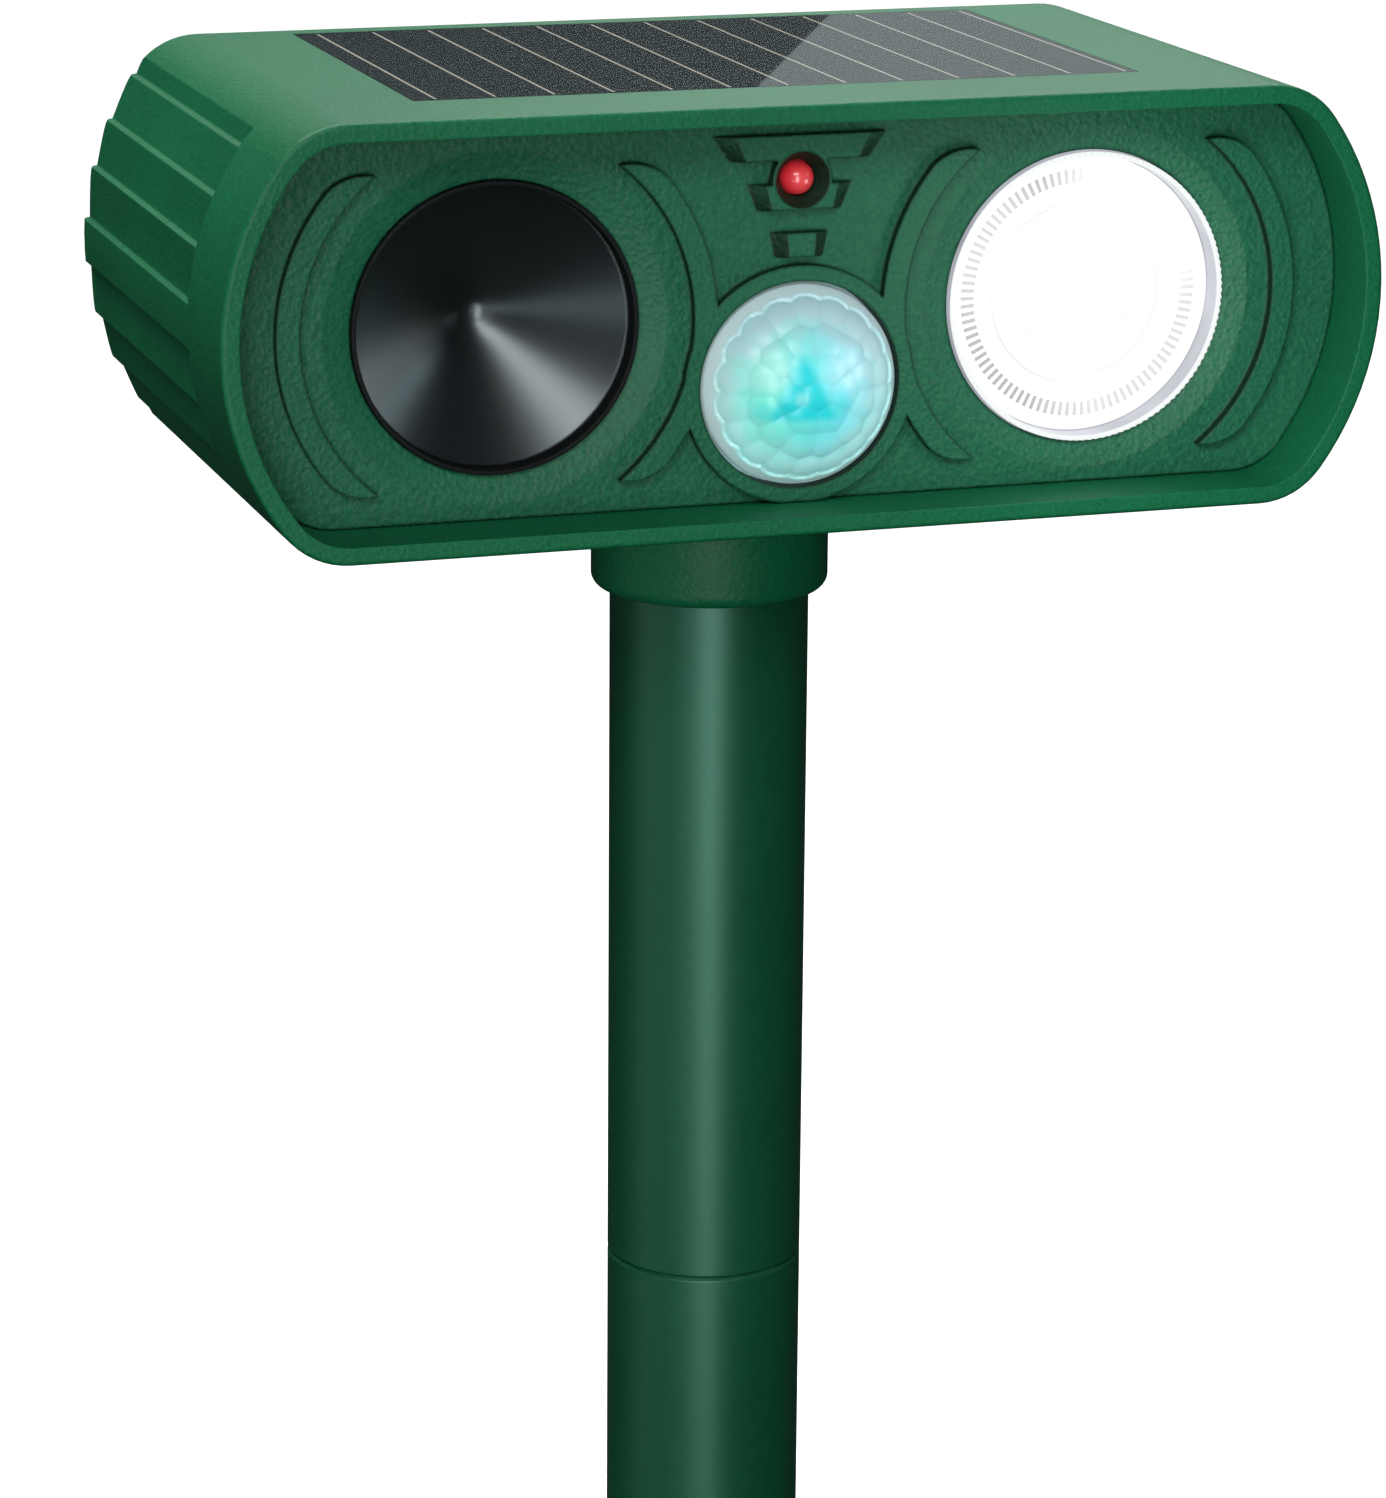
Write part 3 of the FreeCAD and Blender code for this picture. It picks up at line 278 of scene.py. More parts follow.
def circuitBoard(name, look):
    # Solder mask with the faint relief of tracks and pads under it.
    f = Finish(name)
    weave = f.node("ShaderNodeTexWave", {"wave_type": "BANDS", "bands_direction": "Z"},
                   {"Vector": f.place, "Scale": 90.0, "Distortion": 3.0, "Detail": 1.0})
    tracks = f.cells(3.1 * mm, "DISTANCE_TO_EDGE").ramp(0.05, 0.12)
    pads = f.cells(2.6 * mm).ramp(0.22, 0.17)
    speck = f.noise(0.3 * mm, 2.0)
    tone = f.mix(tracks, look["track"], look["colour"])
    tone = f.mix(weave * 0.18, tone, look["colour"])
    tone = f.mix(pads * look["pads"], tone, look["pad"])
    normal = f.bump(tracks * 0.7 + speck * 0.1, 0.03 * mm)
    return f.surface({}, {"Base Color": tone, "Roughness": 0.26 + speck * 0.12, "Normal": normal})


def slate(f, look):
    # Near-black slate with faint bands along the cells and a slow cloud.
    bands = f.noise(0.9 * mm, 2.0, f.stretched(1, 0.02, 1))
    cloud = f.noise(9 * mm, 3.0)
    tone = f.mix(cloud.ramp(0.3, 0.75), look["colour"], look["light"])
    return f.mix(bands * 0.35, tone, look["deep"]), bands, cloud


def siliconCells(name, look):
    f = Finish(name)
    tone, bands, cloud = slate(f, look)
    normal = f.bump(bands, 0.0008 * mm)
    return f.surface({"Specular IOR Level": 0.2},
                     {"Base Color": tone, "Roughness": 0.12 + cloud * 0.06, "Normal": normal})


panel = {
    "left": -42.75,         # first pale line, in mm
    "right": 44.35,         # last pale line
    "cells": 12,
    "front": -26.0,         # ends of the lines
    "back": 30.9,
    "line": (0.12, 0.22),   # half a line's width, to where it has faded
}


def panelFace(name, look):
    # The clear cover as it looks in place: dark cells and pale gaps right under a mirror-flat face.
    f = Finish(name)
    x, y = f.axis("X") / mm, f.axis("Y") / mm
    pitch = (panel["right"] - panel["left"]) / panel["cells"]
    order = (x - panel["left"]) / pitch
    away = order.maths("PINGPONG", order, 0.5) * pitch
    line = (1 - away.ramp(*panel["line"])) * (order > -0.1) * (order < panel["cells"] + 0.1)
    line = line * (y > panel["front"]) * (y < panel["back"])
    tone, bands, cloud = slate(f, look)
    tone = f.mix(line, tone, look["line"])
    constants = {"Specular IOR Level": 0.05, "Coat Weight": 1.0, "Coat Roughness": 0.012}
    return f.surface(constants, {"Base Color": tone, "Roughness": 0.5 + cloud * 0.1})


def clearSheet(name, look):
    # Clear resin or glass, with a slight ripple, dust and handling marks.
    f = Finish(name)
    ripple = f.noise(14 * mm, 2.0)
    dust = f.noise(0.35 * mm, 2.0).ramp(0.68, 0.8)
    smear = f.noise(11 * mm, 4.0, f.stretched(1, 0.4, 1)).ramp(0.5, 0.8)
    rough = look["rough"] + dust * 0.25 + smear * 0.05
    alpha = look["alpha"] + dust * 0.05 + smear * 0.015
    tone = f.mix(dust, look["colour"], (0.8, 0.8, 0.78))
    return f.surface({"IOR": 1.5}, {"Base Color": tone, "Roughness": rough, "Alpha": alpha,
                                    "Normal": f.bump(ripple, 0.02 * mm)})


def softRubber(name, look):
    # Dull rubber with a pale bloom, more of it on the edges.
    f = Finish(name)
    rounded = f.roundedNormal(0.25 * mm)
    skin = f.noise(0.25 * mm, 3.0)
    bloom = f.noise(4 * mm, 4.0).ramp(0.35, 0.8)
    tone = f.mix(bloom * 0.5, look["colour"], look["bloom"])
    tone = f.mix(f.edges(rounded, 5.0) * 0.3, tone, look["bloom"])
    normal = f.bump(skin, 0.02 * mm, rounded)
    return f.surface({}, {"Base Color": tone, "Roughness": 0.62 + skin * 0.2, "Normal": normal})


def foamSheet(name, look):
    # Closed-cell foam with dark pores.
    f = Finish(name)
    pores = f.cells(0.45 * mm)
    drift = f.noise(3 * mm, 3.0)
    tone = f.mix(pores.ramp(0.2, 0.6), look["deep"], look["colour"])
    tone = f.mix(drift * 0.3, tone, look["light"])
    normal = f.bump(pores, 0.08 * mm)
    return f.surface({}, {"Base Color": tone, "Roughness": 0.8 + drift * 0.15, "Normal": normal})


def reachOf(x, z):
    # how far from the centre of x and z
    return (x * x + z * z) ** 0.5


def litLens(name, look):
    # A small lamp's lens: bright core, paler rim, fine frosting.
    f = Finish(name)
    x, z = f.axis("X") - look["centre"][0], f.axis("Z") - look["centre"][1]
    core = 1 - reachOf(x, z).ramp(0.1 * look["radius"], 0.95 * look["radius"])
    frost = f.noise(0.5 * mm, 3.0)
    glow = f.mix(core, look["rim"], look["core"])
    tone = f.mix(frost * 0.3, look["colour"], look["rim"])
    normal = f.bump(frost, 0.02 * mm)
    constants = {"Emission Strength": look["strength"], "Coat Roughness": 0.08}
    return f.surface(constants, {"Base Color": tone, "Emission Color": glow, "Normal": normal,
                                 "Coat Weight": 0.6 + frost * 0.2, "Roughness": 0.25 + frost * 0.1})


# the housing's lighter edge colour is a painted highlight along its edges
greenLook = {
    "colour": (0.001, 0.124, 0.046), "wearAndPaintedLight": (0.006, 0.20, 0.085), "grain": 0.45 * mm,
    "grainDepth": 0.10 * mm, "specular": 0.28, "mottle": 1.1,
}
# the face plate's near-black edge colour is painted shade on its relief edges and step walls
faceLook = {
    "colour": (0.006, 0.108, 0.050), "wearAndPaintedLight": (0.000, 0.012, 0.005), "wearAndLightAmount": 1.0, "grain": 0.5 * mm,
    "grainDepth": 0.2 * mm, "rough": 0.52, "specular": 0.3, "mottle": 1.3, "edgeRadius": 0.5 * mm,
    "edgeGain": 14.0, "walls": 0.9,
}
tubeLook = {
    "colour": (0.000, 0.062, 0.024), "wearAndPaintedLight": (0.01, 0.14, 0.07), "grain": 1.2 * mm, "grainDepth": 0.006 * mm,
    "rough": 0.42, "roughSpread": 0.06, "mottle": 0.4, "specular": 0.9, "tint": (0.5, 1.0, 0.82),
}
blackLook = {
    "colour": (0.003, 0.004, 0.005), "wearAndPaintedLight": (0.012, 0.013, 0.015), "grain": 0.3 * mm,
    "grainDepth": 0.02 * mm, "specular": 0.15,
}
hornLook = {
    **blackLook, "rough": 0.32, "roughSpread": 0.03, "specular": 0.95, "grainDepth": 0.001 * mm,
    "mottle": 0.3, "tint": (0.84, 0.97, 1.0),
}
paleLook = {**blackLook, "specular": 0.5, "wearAndPaintedLight": (0.92, 0.9, 0.86), "mottle": 0.5}

finishes = {
    "green_textured": mouldedPlastic("greenTextured", greenLook),
    "green_face": mouldedPlastic("greenFace", faceLook),
    "green_satin": mouldedPlastic("greenTube", tubeLook),
    "black_gloss": mouldedPlastic("blackGloss", hornLook),
    "black_plastic": mouldedPlastic("blackPlastic", blackLook),
    "chip_black": mouldedPlastic("chipBlack", {**blackLook, "grain": 0.15 * mm, "rough": 0.6}),
    "ferrite": mouldedPlastic("ferrite", {
        **blackLook, "colour": (0.05, 0.05, 0.052), "grain": 0.2 * mm, "grainDepth": 0.05 * mm,
        "rough": 0.7}),
    "header_white": mouldedPlastic("headerWhite", {**paleLook, "colour": (0.72, 0.70, 0.62)}),
    "panel_board": mouldedPlastic("panelBoard", {**paleLook, "colour": (0.60, 0.56, 0.42)}),
    "cell_wrap": mouldedPlastic("cellWrap", {
        **paleLook, "colour": (0.03, 0.16, 0.42), "wearAndPaintedLight": (0.2, 0.4, 0.7), "rough": 0.28,
        "grainDepth": 0.006 * mm}),
    "wire_red": mouldedPlastic("wireRed", {
        **paleLook, "colour": (0.55, 0.02, 0.02), "wearAndPaintedLight": (0.75, 0.2, 0.18)}),
    "wire_black": mouldedPlastic("wireBlack", {**blackLook, "rough": 0.4}),
    "cable_grey": mouldedPlastic("cableGrey", {
        **paleLook, "colour": (0.24, 0.24, 0.25), "wearAndPaintedLight": (0.5, 0.5, 0.5)}),
    "black_rubber": softRubber("blackRubber", {
        "colour": (0.018, 0.018, 0.019), "bloom": (0.07, 0.07, 0.072)}),
    "foam": foamSheet("foam", {
        "colour": (0.045, 0.045, 0.047), "deep": (0.015, 0.015, 0.016), "light": (0.09, 0.09, 0.09)}),
    "board_green": circuitBoard("boardGreen", {
        "colour": (0.01, 0.14, 0.045), "track": (0.03, 0.26, 0.09), "pad": (0.62, 0.6, 0.55), "pads": 0.8}),
    "board_white": circuitBoard("boardWhite", {
        "colour": (0.86, 0.86, 0.84), "track": (0.75, 0.75, 0.73), "pad": (0.7, 0.69, 0.66), "pads": 0.3}),
    "solar_silicon": siliconCells("solarSilicon", {
        "colour": (0.012, 0.018, 0.020), "light": (0.022, 0.031, 0.034), "deep": (0.006, 0.009, 0.011)}),
    "panel_resin": panelFace("panelFace", {
        "colour": (0.015, 0.029, 0.032), "light": (0.022, 0.038, 0.042), "deep": (0.011, 0.021, 0.024),
        "line": (0.50, 0.48, 0.39)}),
    "clear_plastic": clearSheet("clearPlastic", {"colour": (0.92, 0.94, 0.94), "alpha": 0.3, "rough": 0.06}),
    "window_dark": clearSheet("windowDark", {"colour": (0.05, 0.03, 0.05), "alpha": 0.85, "rough": 0.08}),
    "white_dome": clearSheet("domePlain", {"colour": (0.75, 0.86, 0.86), "alpha": 0.9, "rough": 0.2}),
    "silver_coat": metalFinish("silverCoat", {
        "colour": (0.86, 0.87, 0.88), "dull": (0.78, 0.79, 0.8), "bright": (0.95, 0.95, 0.95),
        "rough": 0.14}),
    "steel": metalFinish("steel", {
        "colour": (0.50, 0.50, 0.51), "dull": (0.38, 0.38, 0.39), "bright": (0.75, 0.75, 0.75),
        "rough": 0.32}),
    "tin": metalFinish("tin", {
        "colour": (0.66, 0.65, 0.63), "dull": (0.52, 0.51, 0.49), "bright": (0.85, 0.84, 0.82),
        "rough": 0.26}),
    "brass": metalFinish("brass", {
        "colour": (0.72, 0.50, 0.18), "dull": (0.55, 0.37, 0.13), "bright": (0.9, 0.72, 0.36),
        "rough": 0.3}),
    "copper": metalFinish("copper", {
        "colour": (0.62, 0.22, 0.08), "dull": (0.42, 0.13, 0.05), "bright": (0.85, 0.42, 0.22),
        "rough": 0.3, "brush": (1, 1, 9), "depth": 0.05 * mm}),
    "led_white": litLens("lampChip", {
        "centre": (37.3 * mm, 267.9 * mm), "radius": 7 * mm, "strength": 3.0, "core": (1.0, 0.98, 0.92),
        "rim": (1.0, 0.97, 0.88), "colour": (0.9, 0.85, 0.5)}),
    "led_red": litLens("redLamp", {
        "centre": (0.0, 284.1 * mm), "radius": 2.0 * mm, "strength": 0.18, "core": (1.0, 0.30, 0.28),
        "rim": (0.8, 0.03, 0.05), "colour": (0.62, 0.02, 0.03)}),
}
print("finishes made:", len(finishes))

for part in frame["record"]["subparts"]:
    node = frame["nodes"][part["node"]]
    for holder in node.material_slots:
        holder.material = finishes[part["material_slot"]]
print("finishes on the frame's nodes")


def finishedPiece(name, mesh, body, smooth, stands=()):
    # The last steps of every added piece: shading, its body, the node it stands for.
    mesh.name = name
    for polygon in mesh.polygons:
        polygon.use_smooth = True
    mesh.set_sharp_from_angle(angle=math.radians(smooth))
    piece = bpy.data.objects.new(name, mesh)
    scene.collection.objects.link(piece)
    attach(piece, body)
    if stands:
        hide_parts(*stands)


def turnedMesh(outline, centre, steps):
    # Turns a closed (radius, depth) outline about an axis along Y through centre (x, z).
    shape = bmesh.new()
    rings = []
    for radius, depth in outline:
        if radius < 0.001 * mm:
            rings.append([shape.verts.new((centre[0], depth, centre[1]))])
            continue
        ring = []
        for i in range(steps):
            turn = 2 * math.pi * i / steps
            ring.append(shape.verts.new((centre[0] + radius * math.cos(turn), depth,
                                         centre[1] + radius * math.sin(turn))))
        rings.append(ring)
    for a, b in zip(rings, rings[1:] + rings[:1]):
        for i in range(steps):
            corners = [a[i % len(a)], a[(i + 1) % len(a)], b[(i + 1) % len(b)], b[i % len(b)]]
            unique = list(dict.fromkeys(corners))
            if len(unique) > 2:
                shape.faces.new(unique)
    bmesh.ops.recalc_face_normals(shape, faces=shape.faces)
    mesh = bpy.data.meshes.new("turned")
    shape.to_mesh(mesh)
    shape.free()
    return mesh


def smoothPath(points, steps):
    # A rounded run through the points, with its ends kept.
    out = []
    ends = [points[0]] + points + [points[-1]]
    for corners in zip(ends, ends[1:], ends[2:], ends[3:]):
        for i in range(steps):
            t = i / steps
            spot = []
            for a, b, c, d in zip(*corners):
                square = (2 * a - 5 * b + 4 * c - d) * t ** 2
                cube = (3 * b - a - 3 * c + d) * t ** 3
                spot.append(0.5 * (2 * b + (c - a) * t + square + cube))
            out.append(tuple(spot))
    out.append(points[-1])
    return out


view = {
    "place": (-198.82 * mm, -600.09 * mm, 383.54 * mm),
    "aim": (-18.86 * mm, -51.47 * mm, 220.36 * mm),
    "roll": math.radians(0.441),
    "lens": 122.66,
    "sensor": 36.0,
}


def placeCamera():
    data = bpy.data.cameras.new("camera")
    data.lens = view["lens"]
    data.sensor_width = view["sensor"]
    data.clip_start = 0.01
    data.clip_end = 60
    camera = bpy.data.objects.new("camera", data)
    place = Vector(view["place"])
    level = (Vector(view["aim"]) - place).to_track_quat("-Z", "Y").to_matrix()
    turn = level @ Matrix.Rotation(view["roll"], 3, "Z")
    camera.matrix_world = Matrix.Translation(place) @ turn.to_4x4()
    scene.collection.objects.link(camera)
    scene.camera = camera


lighting = {
    "aim": (0.0, -0.03, 0.27),
    "sky": 0.02,            # the world's strength as a light
    "backdrop": 1.0,        # and as the camera sees it
    # direction from the aim, distance, width, height, power, tint
    "boxes": {
        "overheadBox": ((-0.15, 0.45, 0.88), 1.1, 0.9, 0.9, 11.0, (1.0, 1.0, 1.0)),
        "backHighBox": ((0.45, 0.72, 0.53), 0.6, 0.4, 0.18, 0.9, (1.0, 1.0, 1.0)),
        "frontLeftBox": ((-0.39, -0.74, 0.55), 1.3, 0.75, 0.4, 8.0, (1.0, 1.0, 1.0)),
        "frontBox": ((-0.27, -0.94, -0.08), 1.2, 0.46, 0.9, 8.0, (1.0, 1.0, 1.0)),
        "leftBox": ((-0.97, -0.05, -0.25), 1.3, 0.9, 0.6, 1.1, (1.0, 0.96, 1.0)),
        "lowLeftBox": ((-0.70, -0.66, -0.27), 1.3, 0.25, 0.25, 0.6, (0.8, 0.95, 1.0)),
        "rightBox": ((0.88, -0.37, 0.30), 1.3, 0.25, 0.25, 0.9, (0.8, 0.95, 1.0)),
    },
    # a card behind, mirrored in one side of the panel: place, lean, width, height, power, tint
    "card": ((0.617, 1.4, 0.631), math.radians(47.2), 0.35, 0.5, 0.155, (0.85, 0.98, 1.0)),
    # the lit lamp's spill on the face round it: place, radius, power
    "spill": ((37.3 * mm, -62 * mm, 267.9 * mm), 9 * mm, 0.022),
    "sun": (1.2, math.radians(25), (-0.15, 0.30, 0.94)),    # power, spread, direction
}


def addLight(name, data, place, turn):
    light = bpy.data.objects.new(name, data)
    light.matrix_world = Matrix.Translation(place) @ turn.to_4x4()
    light.visible_camera = False
    scene.collection.objects.link(light)


def areaLight(name, width, height, power, tint):
    data = bpy.data.lights.new(name, "AREA")
    data.shape = "RECTANGLE"
    data.size = width
    data.size_y = height
    data.energy = power
    data.color = tint
    return data


def addLights():
    for name, (direction, distance, width, height, power, tint) in lighting["boxes"].items():
        way = Vector(direction).normalized()
        place = Vector(lighting["aim"]) + way * distance
        turn = way.to_track_quat("Z", "Y").to_matrix()
        addLight(name, areaLight(name, width, height, power, tint), place, turn)
    place, lean, width, height, power, tint = lighting["card"]
    upright = Matrix.Rotation(-math.pi / 2, 3, "X")     # its lit side towards the head
    addLight("card", areaLight("card", width, height, power, tint), place,
             Matrix.Rotation(-lean, 3, "Y") @ upright)
    place, radius, power = lighting["spill"]
    data = bpy.data.lights.new("spill", "POINT")
    data.energy = power
    data.shadow_soft_size = radius
    addLight("spill", data, place, Matrix.Identity(3))
    power, spread, way = lighting["sun"]
    data = bpy.data.lights.new("sun", "SUN")
    data.energy = power
    data.angle = spread
    addLight("sun", data, (0, 0, 2), Vector(way).to_track_quat("Z", "Y").to_matrix())


def addWorld():
    world = bpy.data.worlds.new("studio")
    world.use_nodes = True
    scene.world = world
    g = Graph(world.node_tree)
    world.node_tree.nodes.clear()
    seen = g.node("ShaderNodeLightPath", out="Is Camera Ray")
    plain = g.node("ShaderNodeBackground", {}, {"Color": (1, 1, 1, 1), "Strength": lighting["backdrop"]})
    fill = g.node("ShaderNodeBackground", {}, {"Color": (0.95, 1.0, 1.0, 1), "Strength": lighting["sky"]})
    both = g.node("ShaderNodeMixShader", {}, [seen, fill, plain])
    g.node("ShaderNodeOutputWorld", {}, {"Surface": both})


ground = {
    "below": 0.5 * mm,      # under the lowest point of the object
    "radius": 9.0,
    "steps": 64,
    "glow": 0.75,
}


def addFloor():
    f = Finish("paleFloor")
    cloud = f.noise(0.4, 3.0)
    tone = f.mix(cloud, (0.86, 0.86, 0.86), (0.9, 0.9, 0.9))
    f.surface({"Specular IOR Level": 0.1, "Emission Color": (1, 1, 1), "Emission Strength": ground["glow"]},
              {"Base Color": tone, "Roughness": 0.8 + cloud * 0.1})
    level = cadBox[0].z - ground["below"]
    steps, radius = ground["steps"], ground["radius"]
    turns = [2 * math.pi * i / steps for i in range(steps)]
    ring = [(radius * math.cos(t), radius * math.sin(t), level) for t in turns]
    mesh = bpy.data.meshes.new("floor")
    mesh.from_pydata(ring, [], [list(range(steps))])
    mesh.materials.append(f.material)
    floor = bpy.data.objects.new("floor", mesh)
    floor.visible_glossy = False
    floor.visible_diffuse = False
    scene.collection.objects.link(floor)


placeCamera()
addWorld()
addLights()
addFloor()
scene.view_settings.view_transform = "Standard"
print("camera, lights and floor set")


visorFront = -41.8 * mm     # where the visor's front edge stands along Y

cone = {
    "centre": (-37.3 * mm, 267.9 * mm),
    "steps": 240,
    # radius and depth behind the visor's edge, in mm: rounded lip, straight flank, blunt middle
    "front": [(16.9, 11.9), (16.86, 11.78), (16.7, 11.86), (12.0, 14.86), (8.0, 17.41), (4.0, 19.96),
              (2.2, 20.95), (1.1, 21.4), (0.0, 21.55)],
    "rear": [(0.0, 22.8), (1.8, 22.8), (2.2, 21.6), (16.1, 12.75), (16.9, 12.75)],
    "smoothing": 6,
}


def makeSpeakerCone():
    outline = smoothPath(cone["front"], cone["smoothing"]) + cone["rear"]
    outline = [(r * mm, y * mm + visorFront) for r, y in outline]
    mesh = turnedMesh(outline, cone["centre"], cone["steps"])
    mesh.materials.append(finishes["black_gloss"])
    finishedPiece("speakerCone", mesh, "head", 30, ["speaker_cone"])


makeSpeakerCone()
print("speaker cone made")


dome = {
    "centre": (0.0, 259.4 * mm),
    "ball": 13.67 * mm,
    "ballDepth": 14.42 * mm,
    "skin": 0.8 * mm,
    "rim": 12.15 * mm,
    "flange": (13.3 * mm, 11.25 * mm, 12.15 * mm),      # radius, front and back
    "rows": ((1, 0, 0), (6, 15, 0), (12, 29, 15), (18, 45, 10)),    # count, degrees out, degrees round
    "reach": 0.18,          # how far each lenslet spreads, on a ball of radius 1
    "hollow": 10.0 * mm,    # how fast a lenslet falls away from its middle
    "steps": 300,
    "rings": 84,
    "backRings": 40,
}


def domeFinish():
    # The sensor's window shows through the milky dome as a teal cloud with paler and deeper patches, with a
    # painted highlight at the upper right and a faint painted glow in the same colours.
    f = Finish("domeFacets")
    x, z = (f.axis("X") - dome["centre"][0]) / mm, (f.axis("Z") - dome["centre"][1]) / mm
    reach = reachOf(x + 1.5, z + 0.5)
    blot = f.noise(2.6 * mm, 3.0) - 0.5
    side = (x + blot * 6).ramp(-7, 5)
    teal = f.mix(side, (0.13, 0.74, 0.60), (0.10, 0.72, 0.82))
    rim = f.mix(z.ramp(-9, 9), (0.44, 0.86, 0.86), (0.36, 0.53, 0.57))
    rim = f.mix((x + blot * 3).ramp(-8, -12) * 0.7, rim, (0.44, 0.58, 0.55))
    tone = f.mix((1 - (reach + blot * 5).ramp(3.6, 10.6)) * 0.9, rim, teal)
    pale = 1 - reachOf(x + 5.4, z - 2.8).ramp(1.0, 3.6)
    tone = f.mix(pale * 0.55, tone, (0.38, 0.76, 0.68))
    # painted highlight: a pale patch at the upper right
    pale = 1 - reachOf(x - 3.2, z - 3.0).ramp(1.2, 4.0)
    tone = f.mix(pale * 0.6, tone, (0.45, 0.74, 0.80))
    band = (1 - abs(z + 1.9).ramp(0.4, 1.5)) * (1 - abs(x + 2.0).ramp(4.0, 6.8))
    tone = f.mix(band * 0.55, tone, (0.05, 0.62, 0.60))
    width = 0.3 + (4.8 - z) * 0.46      # a deep wedge, wider below
    wedge = (width - abs(x + 1.75 + blot * 0.6)).ramp(-0.9, 0.9) * z.ramp(-3.6, -2.2) * z.ramp(5.6, 3.0)
    tone = f.mix(wedge * 0.85, tone, (0.0, 0.58, 0.64))
    spot = 1 - reachOf(x + 2.1, z + 0.3).ramp(0.3, 1.3)
    tone = f.mix(spot * 0.35, tone, (0.45, 0.85, 0.85))
    # facet is 0 in a lenslet's middle, 1 on its outline and more outside them all
    facet = f.node("ShaderNodeAttribute", {"attribute_name": "facet"}, out="Fac")
    tone = f.mix(facet.ramp(0.55, 0.95) * 0.2, tone, (0.16, 0.50, 0.50))
    tone = f.mix(facet.ramp(1.05, 1.25) * 0.6, tone, (0.50, 0.60, 0.61))
    tone = f.mix(facet.ramp(0.97, 1.03) * (1 - facet.ramp(1.05, 1.15)) * 0.2, tone, (0.62, 0.78, 0.78))
    grain = f.noise(0.3 * mm, 3.0)
    normal = f.bump(grain, 0.004 * mm)
    # painted glow: the dome, which is no lamp, emits its own colours faintly
    constants = {"Emission Strength": 0.25, "Coat Roughness": 0.1, "IOR": 1.45}
    return f.surface(constants, {"Base Color": tone, "Emission Color": tone, "Normal": normal,
                                 "Roughness": 0.36 + grain * 0.1, "Coat Weight": 0.1 + grain * 0.1})


def lensletTree():
    # Presses a shallow facet into a ball round each lenslet's middle.
    g = Shape("lensletRows", {"Centre": (0.0, 0.0, 0.0), "Reach": 0.1, "Hollow": 0.001})
    here = g.node("GeometryNodeInputPosition")
    out = g.node("ShaderNodeVectorMath", {"operation": "SUBTRACT"}, [here, g.given("Centre")])
    way = g.node("ShaderNodeVectorMath", {"operation": "NORMALIZE"}, [out])
    rows = []
    for count, polar, turn in dome["rows"]:
        polar, turn = math.radians(polar), math.radians(turn)
        size = {"Vertices": max(count, 3), "Radius": math.sin(polar)}
        circle = g.node("GeometryNodeMeshCircle", {}, size)
        lay = {"Geometry": circle, "Rotation": g.vector(math.pi / 2, turn, 0.0),
               "Translation": g.vector(0.0, -math.cos(polar), 0.0)}
        rows.append(g.node("GeometryNodeTransform", {}, lay))
    gap = g.node("GeometryNodeProximity", {"target_element": "POINTS"},
                 {"Geometry": g.joined(rows), "Sample Position": way}, "Distance")
    fade = 1 - gap.ramp(g.given("Reach"), g.given("Reach") + 0.012)
    push = gap * gap * g.given("Hollow") * fade * -1
    offset = g.node("ShaderNodeVectorMath", {"operation": "SCALE"}, {0: way, "Scale": push})
    marked = g.node("GeometryNodeStoreNamedAttribute", {"data_type": "FLOAT", "domain": "POINT"},
                    {"Geometry": g.base, "Name": "facet", "Value": gap / g.given("Reach")})
    moved = g.node("GeometryNodeSetPosition", {}, {"Geometry": marked, "Offset": offset})
    g.close(moved, domeFinish())
    return g


def makeDome():
    ball, skin, deep = dome["ball"], dome["skin"], dome["ballDepth"]

    def arc(radius, edge, rings):
        last = math.asin(edge / radius)
        turns = [last * i / rings for i in range(rings + 1)]
        return [(radius * math.sin(t), deep - radius * math.cos(t)) for t in turns]

    rim = dome["rim"]
    wide, front, back = dome["flange"]
    flange = [(rim, front), (wide, front), (wide, back), (rim - skin, back)]
    inside = arc(ball - skin, rim - skin, dome["backRings"])
    outline = arc(ball, rim, dome["rings"]) + flange + inside[::-1]
    mesh = turnedMesh([(r, y + visorFront) for r, y in outline], dome["centre"], dome["steps"])
    centre = (dome["centre"][0], deep + visorFront, dome["centre"][1])
    made = lensletTree().built(mesh, {"Centre": centre, "Reach": dome["reach"], "Hollow": dome["hollow"]})
    finishedPiece("sensorDome", made, "head", 40, ["pir_lens"])


makeDome()
print("sensor dome made")


lamp = {
    "centre": (37.3 * mm, 267.9 * mm),
    "steps": 256,
    # radius and depth behind the visor's edge, in mm: rippled disc, ribbed ring, collar, rim
    "outline": [
        (0, 12.0), (4, 12.06), (7.7, 12.16), (7.9, 12.25), (8.1, 12.25), (8.3, 12.16), (10.9, 12.25),
        (11.1, 12.35), (11.3, 12.35), (11.5, 12.25), (12.9, 12.3), (13.1, 12.35), (16.9, 12.35),
        (17.15, 12.1), (17.15, 9.2), (17.25, 9.1), (17.7, 9.1), (17.8, 9.2), (17.8, 11.25), (19.9, 11.25),
        (19.9, 12.5), (17.3, 12.5), (17.3, 13.4), (0, 13.4)],
    # count, radius, depth and bar of each ring, in mm
    "ribs": (96, 14.45, 12.3, (1.7, 0.45, 0.4)),
    "teeth": (128, 17.6, 9.1, (0.36, 0.4, 0.3)),
}


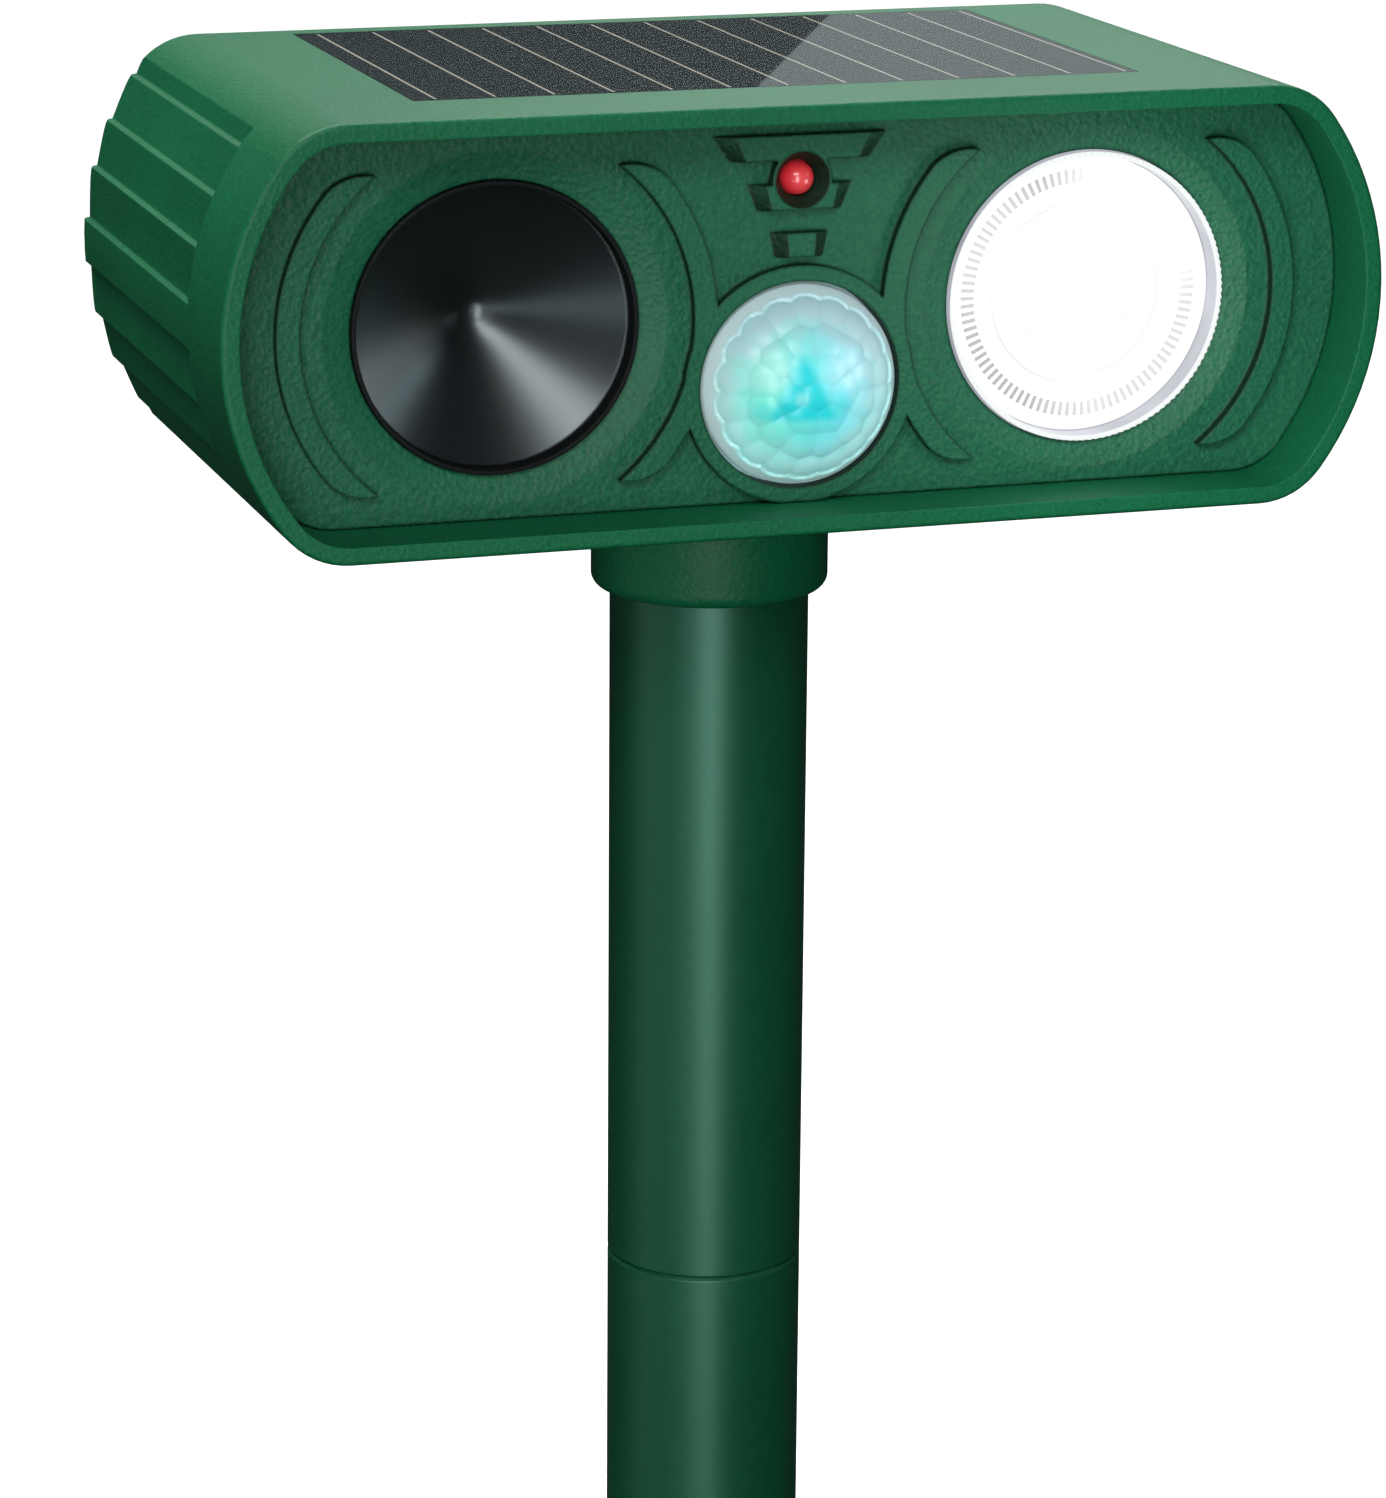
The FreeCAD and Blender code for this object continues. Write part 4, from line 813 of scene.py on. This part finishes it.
def lampFinish():
    # The cup is lit from behind, with its ribs and rings a little greyer.
    f = Finish("litCup")
    x, z = (f.axis("X") - lamp["centre"][0]) / mm, (f.axis("Z") - lamp["centre"][1]) / mm
    depth = (f.axis("Y") - visorFront) / mm
    reach = reachOf(x, z)
    frost = f.noise(0.6 * mm, 3.0)
    shade = f.noise(9 * mm, 2.0)
    # the wash of light leaves the left side and the lower right a little greyer
    left = (0 - x).ramp(-4, 7)
    low = (x * 0.75 - z * 0.65).ramp(6, 13)
    soft = (left + low * 0.55).clamp()
    rib = (12.22 - depth).ramp(0, 0.1) * reach.ramp(12.5, 13.0) * (1 - reach.ramp(16.2, 16.8))
    line = (1 - abs(reach - 11.2).ramp(0.0, 0.35)) * 0.4 + (1 - abs(reach - 8.0).ramp(0.0, 0.3)) * 0.3
    arcs = 1 - abs(reach.maths("PINGPONG", reach, 1.6) - 0.8).ramp(0.0, 0.5)
    arcs = arcs * (x * 0.8 - z * 0.5).ramp(1, 8) * reach.ramp(4, 6) * (1 - reach.ramp(11, 12)) * 0.22
    tone = f.mix((rib + line) * soft + arcs, (1.0, 1.0, 1.0), (0.42, 0.43, 0.44))
    wall = reach.ramp(17.0, 17.1) * depth.ramp(9.05, 9.3)
    grey = f.mix(shade.ramp(0.3, 0.7), (0.30, 0.31, 0.35), (0.44, 0.45, 0.50))
    tone = f.mix(wall, tone, grey)
    edge = reach.ramp(17.0, 17.15) * (1 - depth.ramp(9.0, 9.2))
    tone = f.mix(edge * 0.6, tone, (0.62, 0.72, 0.68))
    constants = {"Emission Strength": 1.0, "Coat Roughness": 0.05, "Base Color": (0.08, 0.08, 0.085)}
    return f.surface(constants, {"Emission Color": tone, "Roughness": 0.2 + frost * 0.1,
                                 "Coat Weight": 0.05 + frost * 0.1, "Normal": f.bump(frost, 0.005 * mm)})


def ringTree(name, material):
    # Small bars set along an arc, each pointing outward.
    g = Shape(name, {"Count": 12, "Radius": 0.01, "Bar": (0.001, 0.001, 0.001), "Centre": (0.0, 0.0, 0.0),
                     "Start": 0.0, "Step": 0.1})
    order = g.node("GeometryNodeInputIndex")
    turn = g.given("Start") + order * g.given("Step")
    radius = g.given("Radius")
    spot = g.vector(radius * turn.maths("COSINE", turn), radius * turn.maths("SINE", turn))
    points = g.node("GeometryNodePoints", {}, {"Count": g.given("Count"), "Position": spot})
    bar = g.node("GeometryNodeMeshCube", {}, {"Size": g.given("Bar")})
    here = g.node("GeometryNodeInputPosition")
    facing = g.node("FunctionNodeAlignRotationToVector", {"axis": "X"}, {"Vector": here})
    row = g.node("GeometryNodeInstanceOnPoints", {}, {"Points": points, "Instance": bar, "Rotation": facing})
    lay = {"Geometry": row, "Rotation": g.vector(math.pi / 2), "Translation": g.given("Centre")}
    laid = g.node("GeometryNodeTransform", {}, lay)
    g.close(g.joined([g.base, laid]), material)
    return g


def makeLampLens():
    x, z = lamp["centre"]
    outline = [(r * mm, y * mm + visorFront) for r, y in lamp["outline"]]
    made = turnedMesh(outline, lamp["centre"], lamp["steps"])
    tree = ringTree("lampRings", lampFinish())
    for count, radius, depth, bar in (lamp["ribs"], lamp["teeth"]):
        made = tree.built(made, {
            "Count": count, "Radius": radius * mm, "Bar": tuple(side * mm for side in bar),
            "Centre": (x, depth * mm + visorFront, z), "Start": 0.0, "Step": 2 * math.pi / count})
    finishedPiece("lampLens", made, "head", 30, ["flash_lens"])


makeLampLens()
print("lamp lens made")


dial = {
    "centre": (38.0 * mm, 268.5 * mm),
    "plate": 77.3 * mm,     # depth of the rear cover's outer face
    "settings": 6,
    "step": math.radians(30),
    "thick": 0.12 * mm,     # how far the print stands out
    "tickRadius": 13.6 * mm,
    "tick": (1.7 * mm, 0.5 * mm),
    "numeralRadius": 16.6 * mm,
    "numeral": 3.4 * mm,
}


def makeDialMarks():
    x, z = dial["centre"]
    depth = dial["plate"] + visorFront
    paint = finishes["header_white"]
    ticks = ringTree("dialTicks", paint).built(bpy.data.meshes.new("ticks"), {
        "Count": dial["settings"], "Radius": dial["tickRadius"], "Bar": (*dial["tick"], dial["thick"] * 2),
        "Centre": (x, depth, z), "Start": math.pi / 2, "Step": dial["step"]})
    shape = bmesh.new()
    shape.from_mesh(ticks)
    for i in range(dial["settings"]):
        text = bpy.data.curves.new("numeral", "FONT")
        text.body = str(i)
        text.size = dial["numeral"]
        text.extrude = dial["thick"]
        text.align_x = text.align_y = "CENTER"
        holder = bpy.data.objects.new("numeral", text)
        scene.collection.objects.link(holder)
        written = holder.evaluated_get(bpy.context.evaluated_depsgraph_get())
        glyph = bpy.data.meshes.new_from_object(written)
        bpy.data.objects.remove(holder)
        turn, radius = math.pi / 2 + i * dial["step"], dial["numeralRadius"]
        spot = Vector((x + radius * math.cos(turn), depth, z + radius * math.sin(turn)))
        upright = Matrix(((-1, 0, 0), (0, 0, 1), (0, 1, 0)))    # to be read from behind
        glyph.transform(Matrix.Translation(spot) @ upright.to_4x4())
        shape.from_mesh(glyph)
    bmesh.ops.remove_doubles(shape, verts=shape.verts, dist=0.001 * mm)
    bmesh.ops.recalc_face_normals(shape, faces=shape.faces)
    mesh = bpy.data.meshes.new("dialMarks")
    shape.to_mesh(mesh)
    shape.free()
    mesh.materials.clear()
    mesh.materials.append(paint)
    finishedPiece("dialMarks", mesh, "head", 30)


makeDialMarks()
print("dial marks made")
